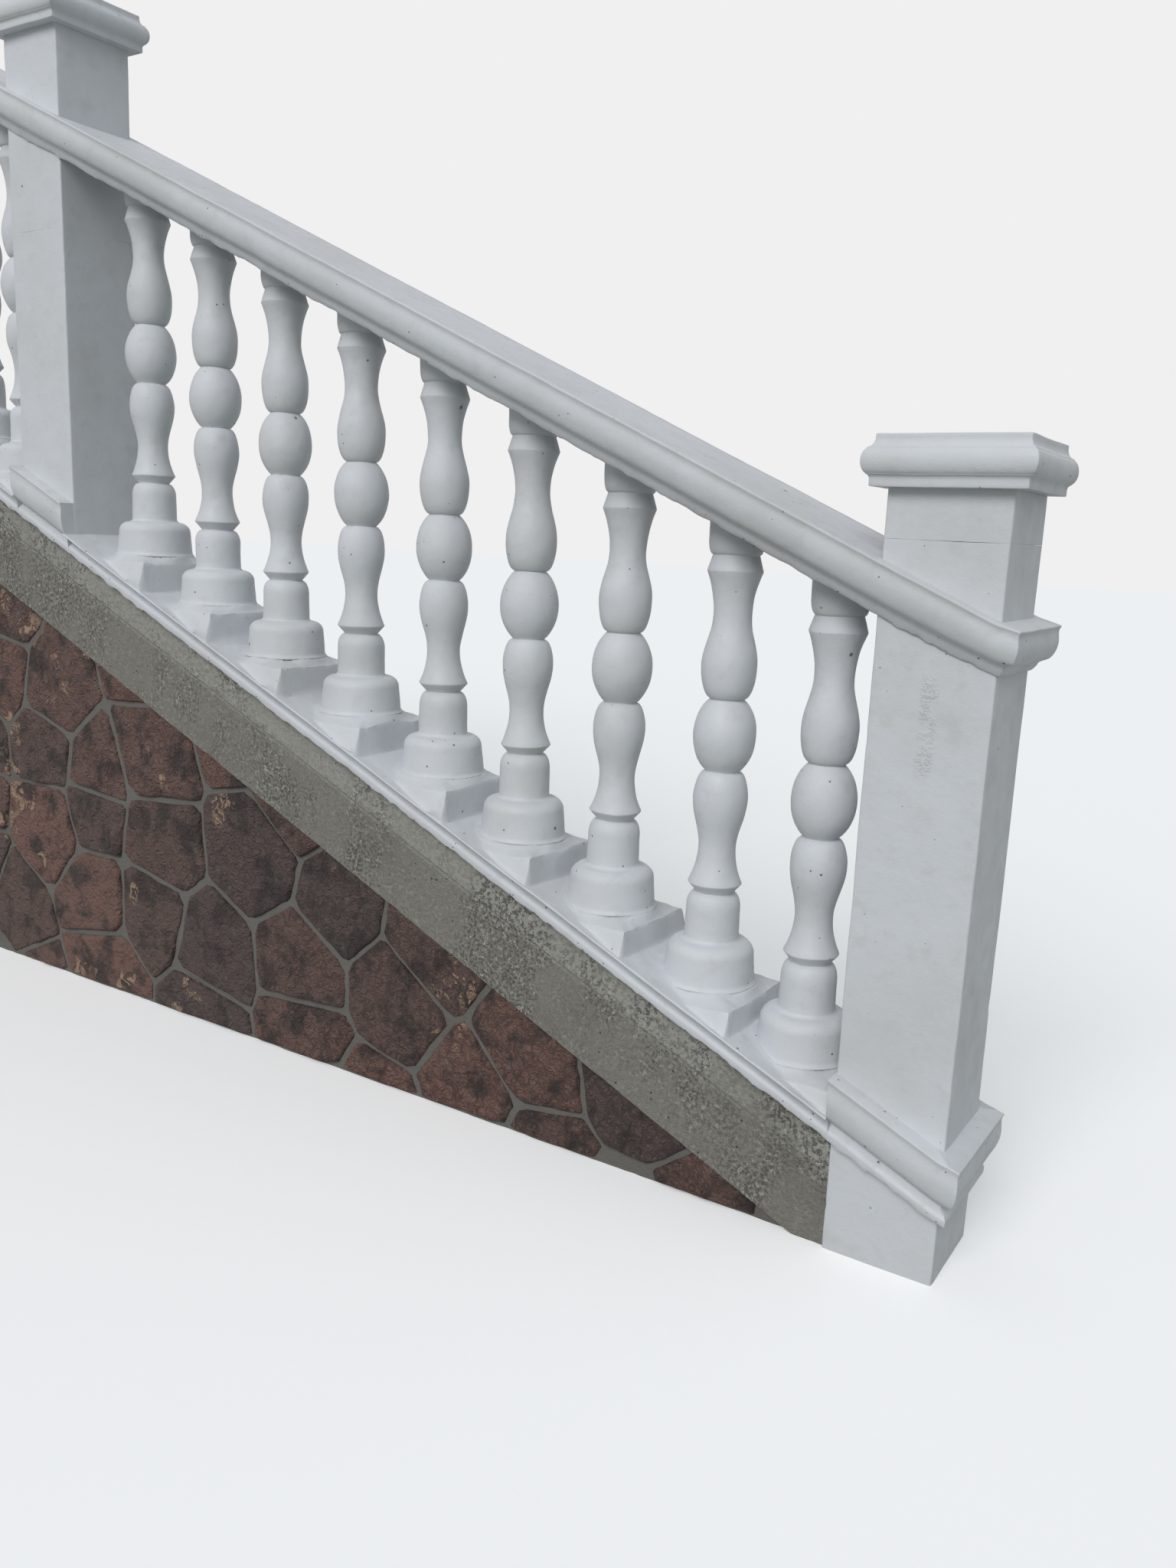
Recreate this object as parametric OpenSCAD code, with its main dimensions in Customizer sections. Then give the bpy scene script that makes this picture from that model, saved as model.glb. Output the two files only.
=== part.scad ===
// Raking stone balustrade of a garden stair: two bays of turned balusters
// between three square newels, on a concrete string band and a rubble wall.
// +X runs down the stair, +Z is up, and the row stands on z = 0 with its
// thickness centred on y = 0.

/* [Stair] */
// Distance along X from one newel's axis to the next
bay_run = 2850; // [2200:10:3600]
// Height that one bay climbs
bay_rise = 1260; // [900:10:1600]

/* [Newels] */
// Width of the square newels
newel_w = 250; // [220:5:320]
// Height of each newel's shaft above the foot of the rake
newel_h = 1665; // [1560:5:1900]
// Depth of the bottom newel's head block, down to its first joint
head_block_h = 100; // [60:5:150]
// Depth of the upper block on the other newels, down to their joint
upper_block_h = 553; // [460:1:700]

/* [Newel cap] */
// Height of the moulded cap
cap_h = 102; // [80:1:140]
// How far the cap's bottom fillet stands out from the newel
cap_fillet_out = 30; // [15:1:34]
// How far the cap's belly stands out
cap_belly_out = 46; // [38:1:70]
// How far the cap's thin top edge stands out
cap_top_out = 25; // [10:1:34]

/* [Rail mouldings] */
// Height of the handrail, measured upright
handrail_h = 112; // [90:1:150]
// Drop from the cap's underside to the handrail's top, on a newel's axis
handrail_drop = 194; // [150:1:260]
// How far the rails' top edge stands out from the newels
rail_top_out = 48; // [36:1:90]
// How far the rails' belly stands out
rail_belly_out = 45; // [38:1:86]
// How far the handrail's bottom fillet stands out
handrail_fillet_out = 4; // [2:1:24]
// Height of the handrail's bottom fillet
handrail_fillet_h = 20; // [12:1:30]
// How far the handrail's bottom fillet leans out
handrail_fillet_lean = 8; // [0:1:14]
// Height of the rails' thin top edge
rail_edge_h = 3; // [2:0.5:8]
// Height of the base moulding on the newels, measured upright
base_moulding_h = 152; // [120:1:190]
// Height of the base rail's lower face
base_fascia_h = 38; // [25:1:55]
// How far the base rail's lower face stands out
base_fascia_out = 8; // [3:1:16]
// Height of the base rail between the newels, measured upright
base_rail_h = 60; // [50:1:80]
// How far the base rail's lip stands out
base_lip_out = 45; // [30:1:80]

/* [Balusters] */
// Spacing of the balusters along X
baluster_pitch = 284; // [220:1:310]
// Distance from a bay's lower newel face to its lowest baluster's axis
lowest_gap = 132; // [110:1:180]
// Least distance from a bay's upper newel face to its uppermost baluster's axis
least_top_gap = 110; // [90:1:200]
// How much nearer the lowest baluster stands to the next one
lowest_shift = 30; // [0:1:40]
// Upright distance between the two rails
rail_gap = 1085; // [980:1:1200]
// How much higher above the rake each baluster stands than the next one down
row_creep = 4.5; // [0:0.5:6]
// Height of the ball's centre above the foot of the block
ball_h = 594; // [540:1:680]
// Radius of the ball
ball_r = 73.5; // [60:0.5:85]
// Radius of the two bellies
belly_r = 64; // [52:0.5:72]
// Radius of the slender necks
neck_r = 43.5; // [36:0.5:52]
// Radius of the creases above and below the ball
crease_r = 39; // [30:0.5:50]
// Radius of the sharp rings
ring_r = 64; // [52:0.5:72]
// Radius of the drums at the foot and the head
drum_r = 64; // [52:0.5:70]
// Drop from the ball's centre to the widest part of the lower belly
lower_belly_drop = 150; // [130:1:170]
// Drop from the ball's centre to the lower neck
lower_neck_drop = 268; // [240:1:285]
// Drop from the ball's centre to the lower ring
lower_ring_drop = 353; // [330:1:362]
// Rise from the ball's centre to the widest part of the upper belly
upper_belly_rise = 161; // [140:1:180]
// Rise from the ball's centre to the upper neck
upper_neck_rise = 276; // [245:1:295]
// Rise from the ball's centre to the upper ring
upper_ring_rise = 374; // [345:1:390]
// Height of the bevel under the lower ring
lower_bevel_h = 23; // [14:1:32]
// Height of the bevel over the upper ring
upper_bevel_h = 36; // [24:1:44]
// Height of the drums' rounded shoulders
drum_round_h = 36; // [24:1:46]
// Height of the square block
block_h = 101; // [90:1:150]
// Width of the block at its top
block_top_w = 154; // [130:1:170]
// Width of the block at its foot
block_foot_w = 172; // [140:1:186]
// Radius of the block's upright corners
block_corner_r = 14; // [6:1:30]
// Radius of the block's shoulder
block_shoulder_r = 20; // [8:1:34]
// How far the foot of the middle block lies below the seat at its uphill edge
block_sink = 12; // [0:1:24]
// How far the level bed under a block reaches past it down the stair
bed_reach = 45; // [20:1:70]
// How far the bed's long faces lie behind the newel faces
bed_inset = 18; // [8:1:34]
// How far the bed's top slopes down from the block's foot to the bed's edges
bed_haunch = 30; // [15:1:36]
// How far the uppermost bed of a bay lies behind its block's faces
top_bed_setback = 9; // [4:1:20]

/* [String wall] */
// Height of the concrete band, measured upright
band_h = 303; // [220:5:400]
// Height of the band's upper strip
band_strip_h = 100; // [60:5:150]
// How far the band's upper strip lies behind the newel faces
band_inset = 5; // [0:1:15]
// How far the band's lower strip lies behind the upper one
band_step = 5; // [2:1:15]
// How far the rubble wall lies behind the newel faces
wall_inset = 18; // [12:1:40]

/* [Hidden] */
bays = 2;
BAY_NAMES = ["lower", "upper"];
NEWEL_NAMES = ["top", "middle", "bottom"];
white_paint = [0.86, 0.87, 0.89];
grey_concrete = [0.52, 0.50, 0.46];
brown_rubble = [0.45, 0.34, 0.29];

half_w = newel_w / 2;
balusters_in_bay =
    floor((bay_run - newel_w - lowest_gap + lowest_shift - least_top_gap) / baluster_pitch) + 1;
rake = atan2(bay_rise, bay_run);
slope = bay_rise / bay_run;
x_foot = bays * bay_run / 2;
x_top = -x_foot;
handrail_foot_drop = handrail_drop + handrail_h;
seat_drop = handrail_foot_drop + rail_gap;
base_foot_drop = seat_drop + base_rail_h;
band_foot_drop = base_foot_drop + band_h;
far = 2 * (bays + 1) * bay_run;
EPS = 0.1;

// Height of the raking line that lies drop below the cap undersides on the
// newel axes, at a place x along the stair
function on_rake(x, drop) = newel_h - drop + (x_foot - x) * slope;

function newel_x(k) = x_top + k * bay_run;

// Distance of baluster i from the upper newel's axis, counted down the stair
function baluster_x(bay, i) =
    newel_x(bay + 1) - half_w - lowest_gap
    - (balusters_in_bay - i) * baluster_pitch
    + (i < balusters_in_bay ? lowest_shift : 0);

// Height of the level foot of baluster i
function block_foot_z(bay, i) =
    on_rake(baluster_x(bay, i) - block_foot_w / 2, seat_drop) - block_sink
    + row_creep * ((balusters_in_bay + 1) / 2 - i);

// Elliptical arc in a section, from angle a0 to a1
function arc(c, r, a0, a1, n) =
    [for (k = [0 : n]) let (a = a0 + (a1 - a0) * k / n) [c[0] + r[0] * cos(a), c[1] + r[1] * sin(a)]];

// Outer edge of a moulding from its foot to its top, as [stand-out, height]:
// fillet, cavetto, belly, cove and top edge. The fillet leans out by lean.
function moulding(foot, lean, belly, top, h, fillet_h) =
    let (
        cavetto_h = 0.13 * h,
        arris = foot + 0.58 * (belly - foot),
        belly_foot = fillet_h + cavetto_h,
        belly_r = (h - belly_foot) / 2.2
    )
    concat(
        [[foot, 0]],
        arc([arris, fillet_h], [arris - foot - lean, cavetto_h], 180, 96, 5),
        arc([arris - 2, belly_foot + belly_r], [belly - arris + 2, belly_r], -84, 42, 8),
        [[belly - rail_edge_h, h - 4 * rail_edge_h], [top - rail_edge_h, h - 2 * rail_edge_h],
         [top, h - rail_edge_h], [top, h]]
    );

handrail_edge = moulding(handrail_fillet_out, handrail_fillet_lean, rail_belly_out, rail_top_out,
                         handrail_h, handrail_fillet_h);
base_edge = moulding(base_fascia_out, 0, rail_belly_out, rail_top_out, base_moulding_h, base_fascia_h);
cap_cavetto_h = 0.1 * cap_h;
cap_fillet_h = 0.13 * cap_h;
cap_belly_h = 0.5 * cap_h;
cap_edge = concat(
    [[cap_fillet_out, 0]],
    arc([cap_fillet_out + 7, cap_fillet_h], [7, cap_cavetto_h], 180, 96, 4),
    arc([cap_fillet_out + 2, cap_fillet_h + cap_cavetto_h + cap_belly_h / 2],
        [cap_belly_out - cap_fillet_out - 2, cap_belly_h / 2], -70, 70, 9),
    arc([cap_belly_out - 7, cap_h * 0.92], [cap_belly_out - 7 - cap_top_out, cap_h * 0.19], 262, 184, 4),
    [[cap_top_out, cap_h * 0.93], [cap_top_out, cap_h]]
);
lip_h = 7;
rail_edge = concat(
    [[base_fascia_out, 0]],
    arc([base_lip_out - 6, base_fascia_h], [base_lip_out - 6 - base_fascia_out, base_rail_h - lip_h - base_fascia_h],
        180, 96, 5),
    [[base_lip_out, base_rail_h - lip_h], [base_lip_out, base_rail_h]]
);

// Closed section across the stair, from an outer edge mirrored about y = 0
function both_sides(edge) = concat(
    [for (p = edge) [half_w + p[0], p[1]]],
    [for (k = [len(edge) - 1 : -1 : 0]) [-half_w - edge[k][0], edge[k][1]]]
);

// A bar that climbs with the stair. The section is given upright, as cut by
// a plane of constant x, with its foot drop below the newel tops.
module raking_bar(section, drop, x0, x1) {
    reach = 200;
    intersection() {
        translate([x0 - reach, 0, on_rake(x0 - reach, drop)])
            rotate([0, rake, 0])
                rotate([90, 0, 90])
                    linear_extrude(height = (x1 - x0 + 2 * reach) / cos(rake))
                        polygon([for (p = section) [p[0], p[1] * cos(rake)]]);
        translate([x0, -far / 2, -far / 2])
            cube([x1 - x0, far, 2 * far]);
    }
}

// Everything that lies within a level return of the raking edge, at the
// newel face x_face. side is 1 at the foot of the stair and -1 at its head.
module return_bound(edge, h, drop, x_face, side) {
    margin = 300;
    z_face = on_rake(x_face, drop);
    inner = side * half_w;
    outline = concat(
        [[x_face - 2 * inner, z_face - margin]],
        [[x_face + side * edge[0][0], z_face - margin]],
        [for (p = edge) [x_face + side * p[0], z_face + p[1] - side * slope * p[0]]],
        [[x_face + side * edge[len(edge) - 1][0], z_face + h + margin]],
        [[x_face - 2 * inner, z_face + h + margin]]
    );
    rotate([90, 0, 0])
        translate([0, 0, -newel_w])
            linear_extrude(height = 2 * newel_w)
                polygon(outline);
}

module newel_column(k, z0, z1) {
    translate([newel_x(k) - half_w, -half_w, z0])
        cube([newel_w, newel_w, z1 - z0]);
}

// The raking moulding that passes a newel's front and back faces. At the
// foot and the head of the stair it turns the corner as a mitred return.
module newel_moulding(k, edge, h, drop) {
    x = newel_x(k);
    foot = k == bays;
    head = k == 0;
    reach = rail_top_out + 1;
    difference() {
        intersection() {
            raking_bar(both_sides(edge), drop, x - half_w - (head ? reach : 0), x + half_w + (foot ? reach : 0));
            if (foot)
                return_bound(edge, h, drop, x + half_w, 1);
            if (head)
                return_bound(edge, h, drop, x - half_w, -1);
        }
        newel_column(k, 0, far);
    }
}

function newel_top(k) = on_rake(newel_x(k), 0);
function pedestal_top() = on_rake(newel_x(bays) - half_w, base_foot_drop) + base_rail_h / 3;

module bottom_newel_pedestal() {
    color(white_paint)
        newel_column(bays, 0, pedestal_top());
}

// A newel's shaft. On the raking string its foot is cut to the slope.
module newel_shaft(k) {
    x = newel_x(k);
    joint = newel_top(k) - (k == bays ? head_block_h : upper_block_h);
    color(white_paint)
        if (k == bays)
            newel_column(k, pedestal_top(), joint);
        else
            intersection() {
                newel_column(k, on_rake(x + half_w, base_foot_drop) - 1, joint);
                translate([x - newel_w, 0, on_rake(x - newel_w, base_foot_drop)])
                    rotate([0, rake, 0])
                        translate([-newel_w, -newel_w, 0])
                            cube([4 * newel_w, 2 * newel_w, 2 * newel_h]);
            }
}

module newel_head(k) {
    block_h = k == bays ? head_block_h : upper_block_h;
    color(white_paint)
        newel_column(k, newel_top(k) - block_h, newel_top(k));
}

module newel_cap(k) {
    color(white_paint)
        translate([newel_x(k), 0, newel_top(k)])
            intersection() {
                cap_bar();
                rotate([0, 0, 90])
                    cap_bar();
            }
}

module cap_bar() {
    reach = newel_w + 4 * cap_belly_out;
    translate([-reach / 2, 0, 0])
        rotate([90, 0, 90])
            linear_extrude(height = reach)
                polygon(both_sides(cap_edge));
}

module newel_rail_moulding(k) {
    color(white_paint)
        newel_moulding(k, handrail_edge, handrail_h, handrail_foot_drop);
}

module newel_base_moulding(k) {
    color(white_paint)
        newel_moulding(k, base_edge, base_moulding_h, base_foot_drop);
}

module handrail(bay) {
    color(white_paint)
        raking_bar(both_sides(handrail_edge), handrail_foot_drop,
                   newel_x(bay) + half_w, newel_x(bay + 1) - half_w);
}

module base_rail(bay) {
    color(white_paint)
        raking_bar(both_sides(rail_edge), base_foot_drop,
                   newel_x(bay) + half_w, newel_x(bay + 1) - half_w);
}

// The ball is a little taller than it is wide
ball_tall_r = 1.36 * ball_r;
crease_z = ball_tall_r * sin(acos(crease_r / ball_r));
lower_belly_z = ball_h - lower_belly_drop;
lower_neck_z = ball_h - lower_neck_drop;
lower_ring_z = ball_h - lower_ring_drop;
lower_pinch_z = lower_ring_z - lower_bevel_h;
upper_belly_z = ball_h + upper_belly_rise;
upper_neck_z = ball_h + upper_neck_rise;
upper_ring_z = ball_h + upper_ring_rise;
upper_pinch_z = upper_ring_z + upper_bevel_h;
pinch_r = crease_r + 5;
head_pinch_r = pinch_r + 9;
crease_angle = acos(crease_r / ball_r);

// Turned outline stretches, each from one radius and height to the next
function swell(r0, z0, r1, z1, n) =
    [for (k = [1 : n]) let (t = k / n) [r0 + (r1 - r0) * (1 - cos(180 * t)) / 2, z0 + (z1 - z0) * t]];
function round_in(r0, z0, r1, z1, n) =
    [for (k = [1 : n]) let (a = 90 * k / n) [r1 + (r0 - r1) * cos(a), z0 + (z1 - z0) * sin(a)]];
function round_out(r0, z0, r1, z1, n) =
    [for (k = [1 : n]) let (a = 90 * k / n) [r0 + (r1 - r0) * sin(a), z1 + (z0 - z1) * cos(a)]];
function flare(r0, z0, r1, z1, n) =
    [for (k = [1 : n]) let (t = k / n) [r0 + (r1 - r0) * t * t, z0 + (z1 - z0) * t]];
function unflare(r0, z0, r1, z1, n) =
    [for (k = [1 : n]) let (t = k / n) [r1 + (r0 - r1) * (1 - t) * (1 - t), z0 + (z1 - z0) * t]];

turned_outline = concat(
    [[0, block_h / 2], [drum_r + 2, block_h / 2]],
    [[drum_r, lower_pinch_z - drum_round_h]],
    round_in(drum_r, lower_pinch_z - drum_round_h, pinch_r, lower_pinch_z, 5),
    [[ring_r, lower_ring_z]],
    unflare(ring_r, lower_ring_z, neck_r, lower_neck_z, 5),
    swell(neck_r, lower_neck_z, belly_r, lower_belly_z, 6),
    round_in(belly_r, lower_belly_z, crease_r, ball_h - crease_z, 6),
    [for (k = [-3.5 : 3.5]) let (a = crease_angle * k / 4) [ball_r * cos(a), ball_h + ball_tall_r * sin(a)]],
    [[crease_r, ball_h + crease_z]],
    round_out(crease_r, ball_h + crease_z, belly_r, upper_belly_z, 6),
    swell(belly_r, upper_belly_z, neck_r, upper_neck_z, 6),
    flare(neck_r, upper_neck_z, ring_r, upper_ring_z, 5),
    [[head_pinch_r, upper_pinch_z]],
    round_out(head_pinch_r, upper_pinch_z, drum_r, upper_pinch_z + drum_round_h, 5),
    [[drum_r, rail_gap + 2 * drum_r * slope], [0, rail_gap + 2 * drum_r * slope]]
);

module rounded_square(w, r) {
    square([w, w - 2 * r], center = true);
    square([w - 2 * r, w], center = true);
    for (sx = [-1, 1])
        for (sy = [-1, 1])
            translate([sx * (w / 2 - r), sy * (w / 2 - r)])
                circle(r = r, $fn = 24);
}

// The block under a baluster: it widens to its foot and has a round shoulder
module baluster_block() {
    shoulder = min(block_shoulder_r, block_h / 2);
    hull() {
        linear_extrude(height = EPS)
            rounded_square(block_foot_w, block_corner_r);
        for (a = [0 : 30 : 90])
            translate([0, 0, block_h - shoulder * (1 - sin(a)) - EPS])
                linear_extrude(height = EPS)
                    rounded_square(block_top_w - 2 * shoulder * (1 - cos(a)), block_corner_r);
    }
}

// Slab of everything between the base rail's seat and the handrail's soffit
module between_rails(x) {
    depth = 2 * newel_w;
    translate([x, 0, on_rake(x, seat_drop)])
        rotate([0, rake, 0])
            translate([-depth, -depth / 2, 0])
                cube([2 * depth, depth, rail_gap * cos(rake)]);
}

module baluster(bay, i) {
    x = baluster_x(bay, i);
    color(white_paint)
        intersection() {
            translate([x, 0, block_foot_z(bay, i)]) {
                rotate_extrude($fn = 48)
                    polygon(turned_outline);
                baluster_block();
            }
            between_rails(x);
        }
}

// Mortar bed between the raking seat and a block's level foot. It runs on
// down the stair past the block, is nearly as wide as the wall, and its top
// is haunched from the block's foot to its edges. Only the uppermost bed of
// a bay is small and keeps behind its block.
module mortar_bed(bay, i) {
    x = baluster_x(bay, i);
    foot_z = block_foot_z(bay, i);
    small = i == 1;
    end_x = block_foot_w / 2 + (small ? -top_bed_setback : bed_reach);
    side_y = small ? block_foot_w / 2 - top_bed_setback : half_w - bed_inset;
    top_z = small ? 0 : -bed_haunch;
    color(white_paint)
        intersection() {
            translate([x, 0, foot_z]) {
                translate([-end_x, -side_y, top_z - block_foot_w])
                    cube([2 * end_x, 2 * side_y, block_foot_w]);
                if (!small)
                    hull() {
                        translate([-end_x, -side_y, top_z])
                            cube([2 * end_x, 2 * side_y, EPS]);
                        translate([0, 0, -EPS])
                            linear_extrude(height = EPS)
                                rounded_square(block_foot_w, block_corner_r);
                    }
            }
            between_rails(x);
        }
}

module bedding_mortar(bay) {
    for (i = [1 : balusters_in_bay])
        mortar_bed(bay, i);
}

// Everything above the ground
module above_ground() {
    translate([-far / 2, -newel_w, 0])
        cube([far, 2 * newel_w, far]);
}

function string_x0(bay) = bay == 0 ? newel_x(0) - half_w : newel_x(bay);
function string_x1(bay) = bay == bays - 1 ? newel_x(bays) - half_w : newel_x(bay + 1);

module concrete_band(bay) {
    upper = half_w - band_inset;
    lower = upper - band_step;
    knee = band_h - band_strip_h;
    color(grey_concrete)
        intersection() {
            raking_bar([[lower, 0], [lower, knee], [upper, knee + band_step], [upper, band_h],
                        [-upper, band_h], [-upper, knee + band_step], [-lower, knee], [-lower, 0]],
                       band_foot_drop, string_x0(bay), string_x1(bay));
            above_ground();
        }
}

// The wall under the band, down to the ground
module rubble_wall(bay) {
    x0 = string_x0(bay);
    x1 = string_x1(bay);
    thick = newel_w - 2 * wall_inset;
    x_ground = x_foot + (newel_h - band_foot_drop) / slope;
    x_end = min(x1, x_ground);
    color(brown_rubble)
        translate([0, thick / 2, 0])
            rotate([90, 0, 0])
                linear_extrude(height = thick)
                    polygon([[x0, 0], [x_end, 0], [x_end, on_rake(x_end, band_foot_drop)],
                             [x0, on_rake(x0, band_foot_drop)]]);
}

bottom_newel_pedestal();
for (k = [0 : bays]) {
    newel_shaft(k);
    newel_head(k);
    newel_cap(k);
    newel_rail_moulding(k);
    newel_base_moulding(k);
}
for (b = [0 : bays - 1]) {
    handrail(1 - b);
    base_rail(1 - b);
    for (i = [1 : balusters_in_bay])
        baluster(1 - b, i);
    bedding_mortar(1 - b);
    concrete_band(1 - b);
    rubble_wall(1 - b);
}
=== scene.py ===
import itertools
import math

import bpy
import numpy as np
from mathutils import Matrix, Vector


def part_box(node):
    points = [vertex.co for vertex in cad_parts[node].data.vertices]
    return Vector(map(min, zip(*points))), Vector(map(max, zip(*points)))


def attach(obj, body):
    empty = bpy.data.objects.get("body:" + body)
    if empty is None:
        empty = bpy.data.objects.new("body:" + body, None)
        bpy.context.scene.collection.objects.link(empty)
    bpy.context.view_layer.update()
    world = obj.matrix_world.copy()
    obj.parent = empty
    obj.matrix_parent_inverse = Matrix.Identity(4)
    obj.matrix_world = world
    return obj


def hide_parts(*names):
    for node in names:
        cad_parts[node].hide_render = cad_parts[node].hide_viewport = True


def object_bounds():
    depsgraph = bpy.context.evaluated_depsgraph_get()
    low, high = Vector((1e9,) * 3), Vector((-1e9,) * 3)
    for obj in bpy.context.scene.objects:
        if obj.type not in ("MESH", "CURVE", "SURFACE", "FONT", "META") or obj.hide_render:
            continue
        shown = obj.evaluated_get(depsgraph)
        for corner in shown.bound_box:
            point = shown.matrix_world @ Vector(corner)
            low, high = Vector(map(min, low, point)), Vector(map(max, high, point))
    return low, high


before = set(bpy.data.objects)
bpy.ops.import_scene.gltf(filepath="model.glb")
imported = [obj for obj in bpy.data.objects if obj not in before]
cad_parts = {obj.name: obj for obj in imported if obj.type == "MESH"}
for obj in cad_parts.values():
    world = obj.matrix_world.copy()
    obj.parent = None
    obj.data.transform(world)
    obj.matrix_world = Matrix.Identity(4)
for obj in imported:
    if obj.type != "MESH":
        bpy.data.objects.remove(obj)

bl_info = {
    "name": "Raking Stone Balustrade",
    "version": (1, 0, 0),
    "blender": (4, 5, 0),
    "location": "View3D > Sidebar > Balustrade",
    "description": "Painted cast-stone balustrade of a garden stair on a concrete string and a rubble wall",
    "category": "Add Mesh",
}

CAD_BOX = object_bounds()
BODY = "root"
BAYS = ("lower", "upper")
NEWELS = ("top", "middle", "bottom")
MM = 0.001
# Mesh attribute that holds each stone's tint
TINT = "stone_tint"
# Strip of wrinkled paint on the bottom newel's face: along X, then in height
CRACKLED = (2.832, 2.866, 1.09, 1.30)


# Sizes read from the frame

def corners(node):
    """Lowest and highest corner of a node."""
    low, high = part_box(node)
    return np.array(low), np.array(high)


def between(bay):
    """Start and end along X of a bay's clear run between its newels."""
    low, high = corners(bay + "_handrail")
    return low[0], high[0]


SHAFT_LOW, SHAFT_HIGH = corners("bottom_newel_shaft")
HALF_W = (SHAFT_HIGH[0] - SHAFT_LOW[0]) / 2
NEWEL_X = {name: sum(c[0] for c in corners(name + "_newel_head")) / 2 for name in NEWELS}
NEWEL_TOP = {name: corners(name + "_newel_head")[1][2] for name in NEWELS}
SLOPE = (NEWEL_TOP["middle"] - NEWEL_TOP["bottom"]) / (NEWEL_X["bottom"] - NEWEL_X["middle"])


def rake_z(x, drop=0.0):
    """Height of the raking line that lies drop below the newel tops."""
    return NEWEL_TOP["bottom"] - drop + (NEWEL_X["bottom"] - x) * SLOPE


def top_drop(node, x):
    return rake_z(x) - corners(node)[1][2]


def foot_drop(node, x):
    return rake_z(x) - corners(node)[0][2]


RUN_START, RUN_END = between("lower")
HANDRAIL_TOP_DROP = top_drop("lower_handrail", RUN_START)
SOFFIT_DROP = foot_drop("lower_handrail", RUN_END)
SEAT_DROP = top_drop("lower_base_rail", RUN_START)
BASE_FOOT_DROP = foot_drop("lower_base_rail", RUN_END)
BASE_MOULDING_TOP_DROP = top_drop("middle_newel_base_moulding", NEWEL_X["middle"] - HALF_W)
BAND_FOOT_DROP = foot_drop("upper_concrete_band", NEWEL_X["middle"])
CAP_BELLY_OUT = corners("bottom_newel_cap")[1][1] - HALF_W
LIP_OUT = corners("lower_base_rail")[1][1] - HALF_W
BAND_SIDE = corners("upper_concrete_band")[1][1]
WALL_SIDE = corners("upper_rubble_wall")[1][1]


def baluster_nodes(bay):
    """A bay's baluster nodes, counted down the stair."""
    nodes = [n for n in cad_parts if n.startswith(bay + "_baluster_")]
    return sorted(nodes, key=lambda n: int(n.rsplit("_", 1)[1]))


# How far the feet of three hand-set balusters stand down the stair from plumb
OUT_OF_PLUMB = {"lower_baluster_4": 0.008, "lower_baluster_5": 0.021, "lower_baluster_6": 0.008}


def baluster_place(node):
    """Place along X and height of a baluster's foot."""
    low, high = corners(node)
    return (low[0] + high[0]) / 2 + OUT_OF_PLUMB.get(node, 0.0), low[2]


# Settings

def length(name, description, default):
    return bpy.props.FloatProperty(name=name, description=description, default=default,
                                   min=0.0, max=1.0, unit="LENGTH", subtype="DISTANCE", precision=4)


def share(name, description, default):
    return bpy.props.FloatProperty(name=name, description=description, default=default,
                                   min=0.0, max=1.0, subtype="FACTOR")


def paint_colour(name, description, default):
    return bpy.props.FloatVectorProperty(name=name, description=description, default=default,
                                         size=3, min=0.0, max=1.0, subtype="COLOR")


def turn(name, description, default):
    return bpy.props.FloatProperty(name=name, description=description, default=default,
                                   subtype="ANGLE", unit="ROTATION")


def group(kind, name, description):
    return bpy.props.PointerProperty(type=kind, name=name, description=description)


class BALUSTRADE_PG_baluster(bpy.types.PropertyGroup):
    """Sizes of a turned baluster"""
    ball_height: length("Ball height", "Centre of the ball above the plinth's foot", 0.594)
    ball_radius: length("Ball radius", "Radius of the ball", 0.0735)
    belly_radius: length("Belly radius", "Radius of the two bellies", 0.064)
    neck_radius: length("Neck radius", "Radius of the slender necks", 0.0435)
    crease_radius: length("Crease radius", "Radius of the creases beside the ball", 0.039)
    ring_radius: length("Ring radius", "Radius of the sharp rings", 0.064)
    drum_radius: length("Drum radius", "Radius of the drums at foot and head", 0.064)
    lower_belly: length("Lower belly drop", "Drop from the ball's centre to the lower belly", 0.150)
    lower_neck: length("Lower neck drop", "Drop from the ball's centre to the lower neck", 0.268)
    lower_ring: length("Lower ring drop", "Drop from the ball's centre to the lower ring", 0.353)
    upper_belly: length("Upper belly rise", "Rise from the ball's centre to the upper belly", 0.161)
    upper_neck: length("Upper neck rise", "Rise from the ball's centre to the upper neck", 0.276)
    upper_ring: length("Upper ring rise", "Rise from the ball's centre to the upper ring", 0.374)
    lower_bevel: length("Lower bevel", "Height of the bevel under the lower ring", 0.023)
    upper_bevel: length("Upper bevel", "Height of the bevel over the upper ring", 0.036)
    drum_round: length("Drum shoulder", "Height of the drums' rounded shoulders", 0.036)
    plinth_height: length("Plinth height", "Height of the round plinth", 0.102)
    plinth_top: length("Plinth top", "Radius of the plinth under its shoulder", 0.1045)
    plinth_foot: length("Plinth foot", "Radius of the plinth at its foot", 0.116)
    plinth_shoulder: length("Plinth shoulder", "Size of the plinth's rounded shoulder", 0.030)
    wobble: length("Wobble", "Unevenness of the cast surface", 0.0009)


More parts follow.
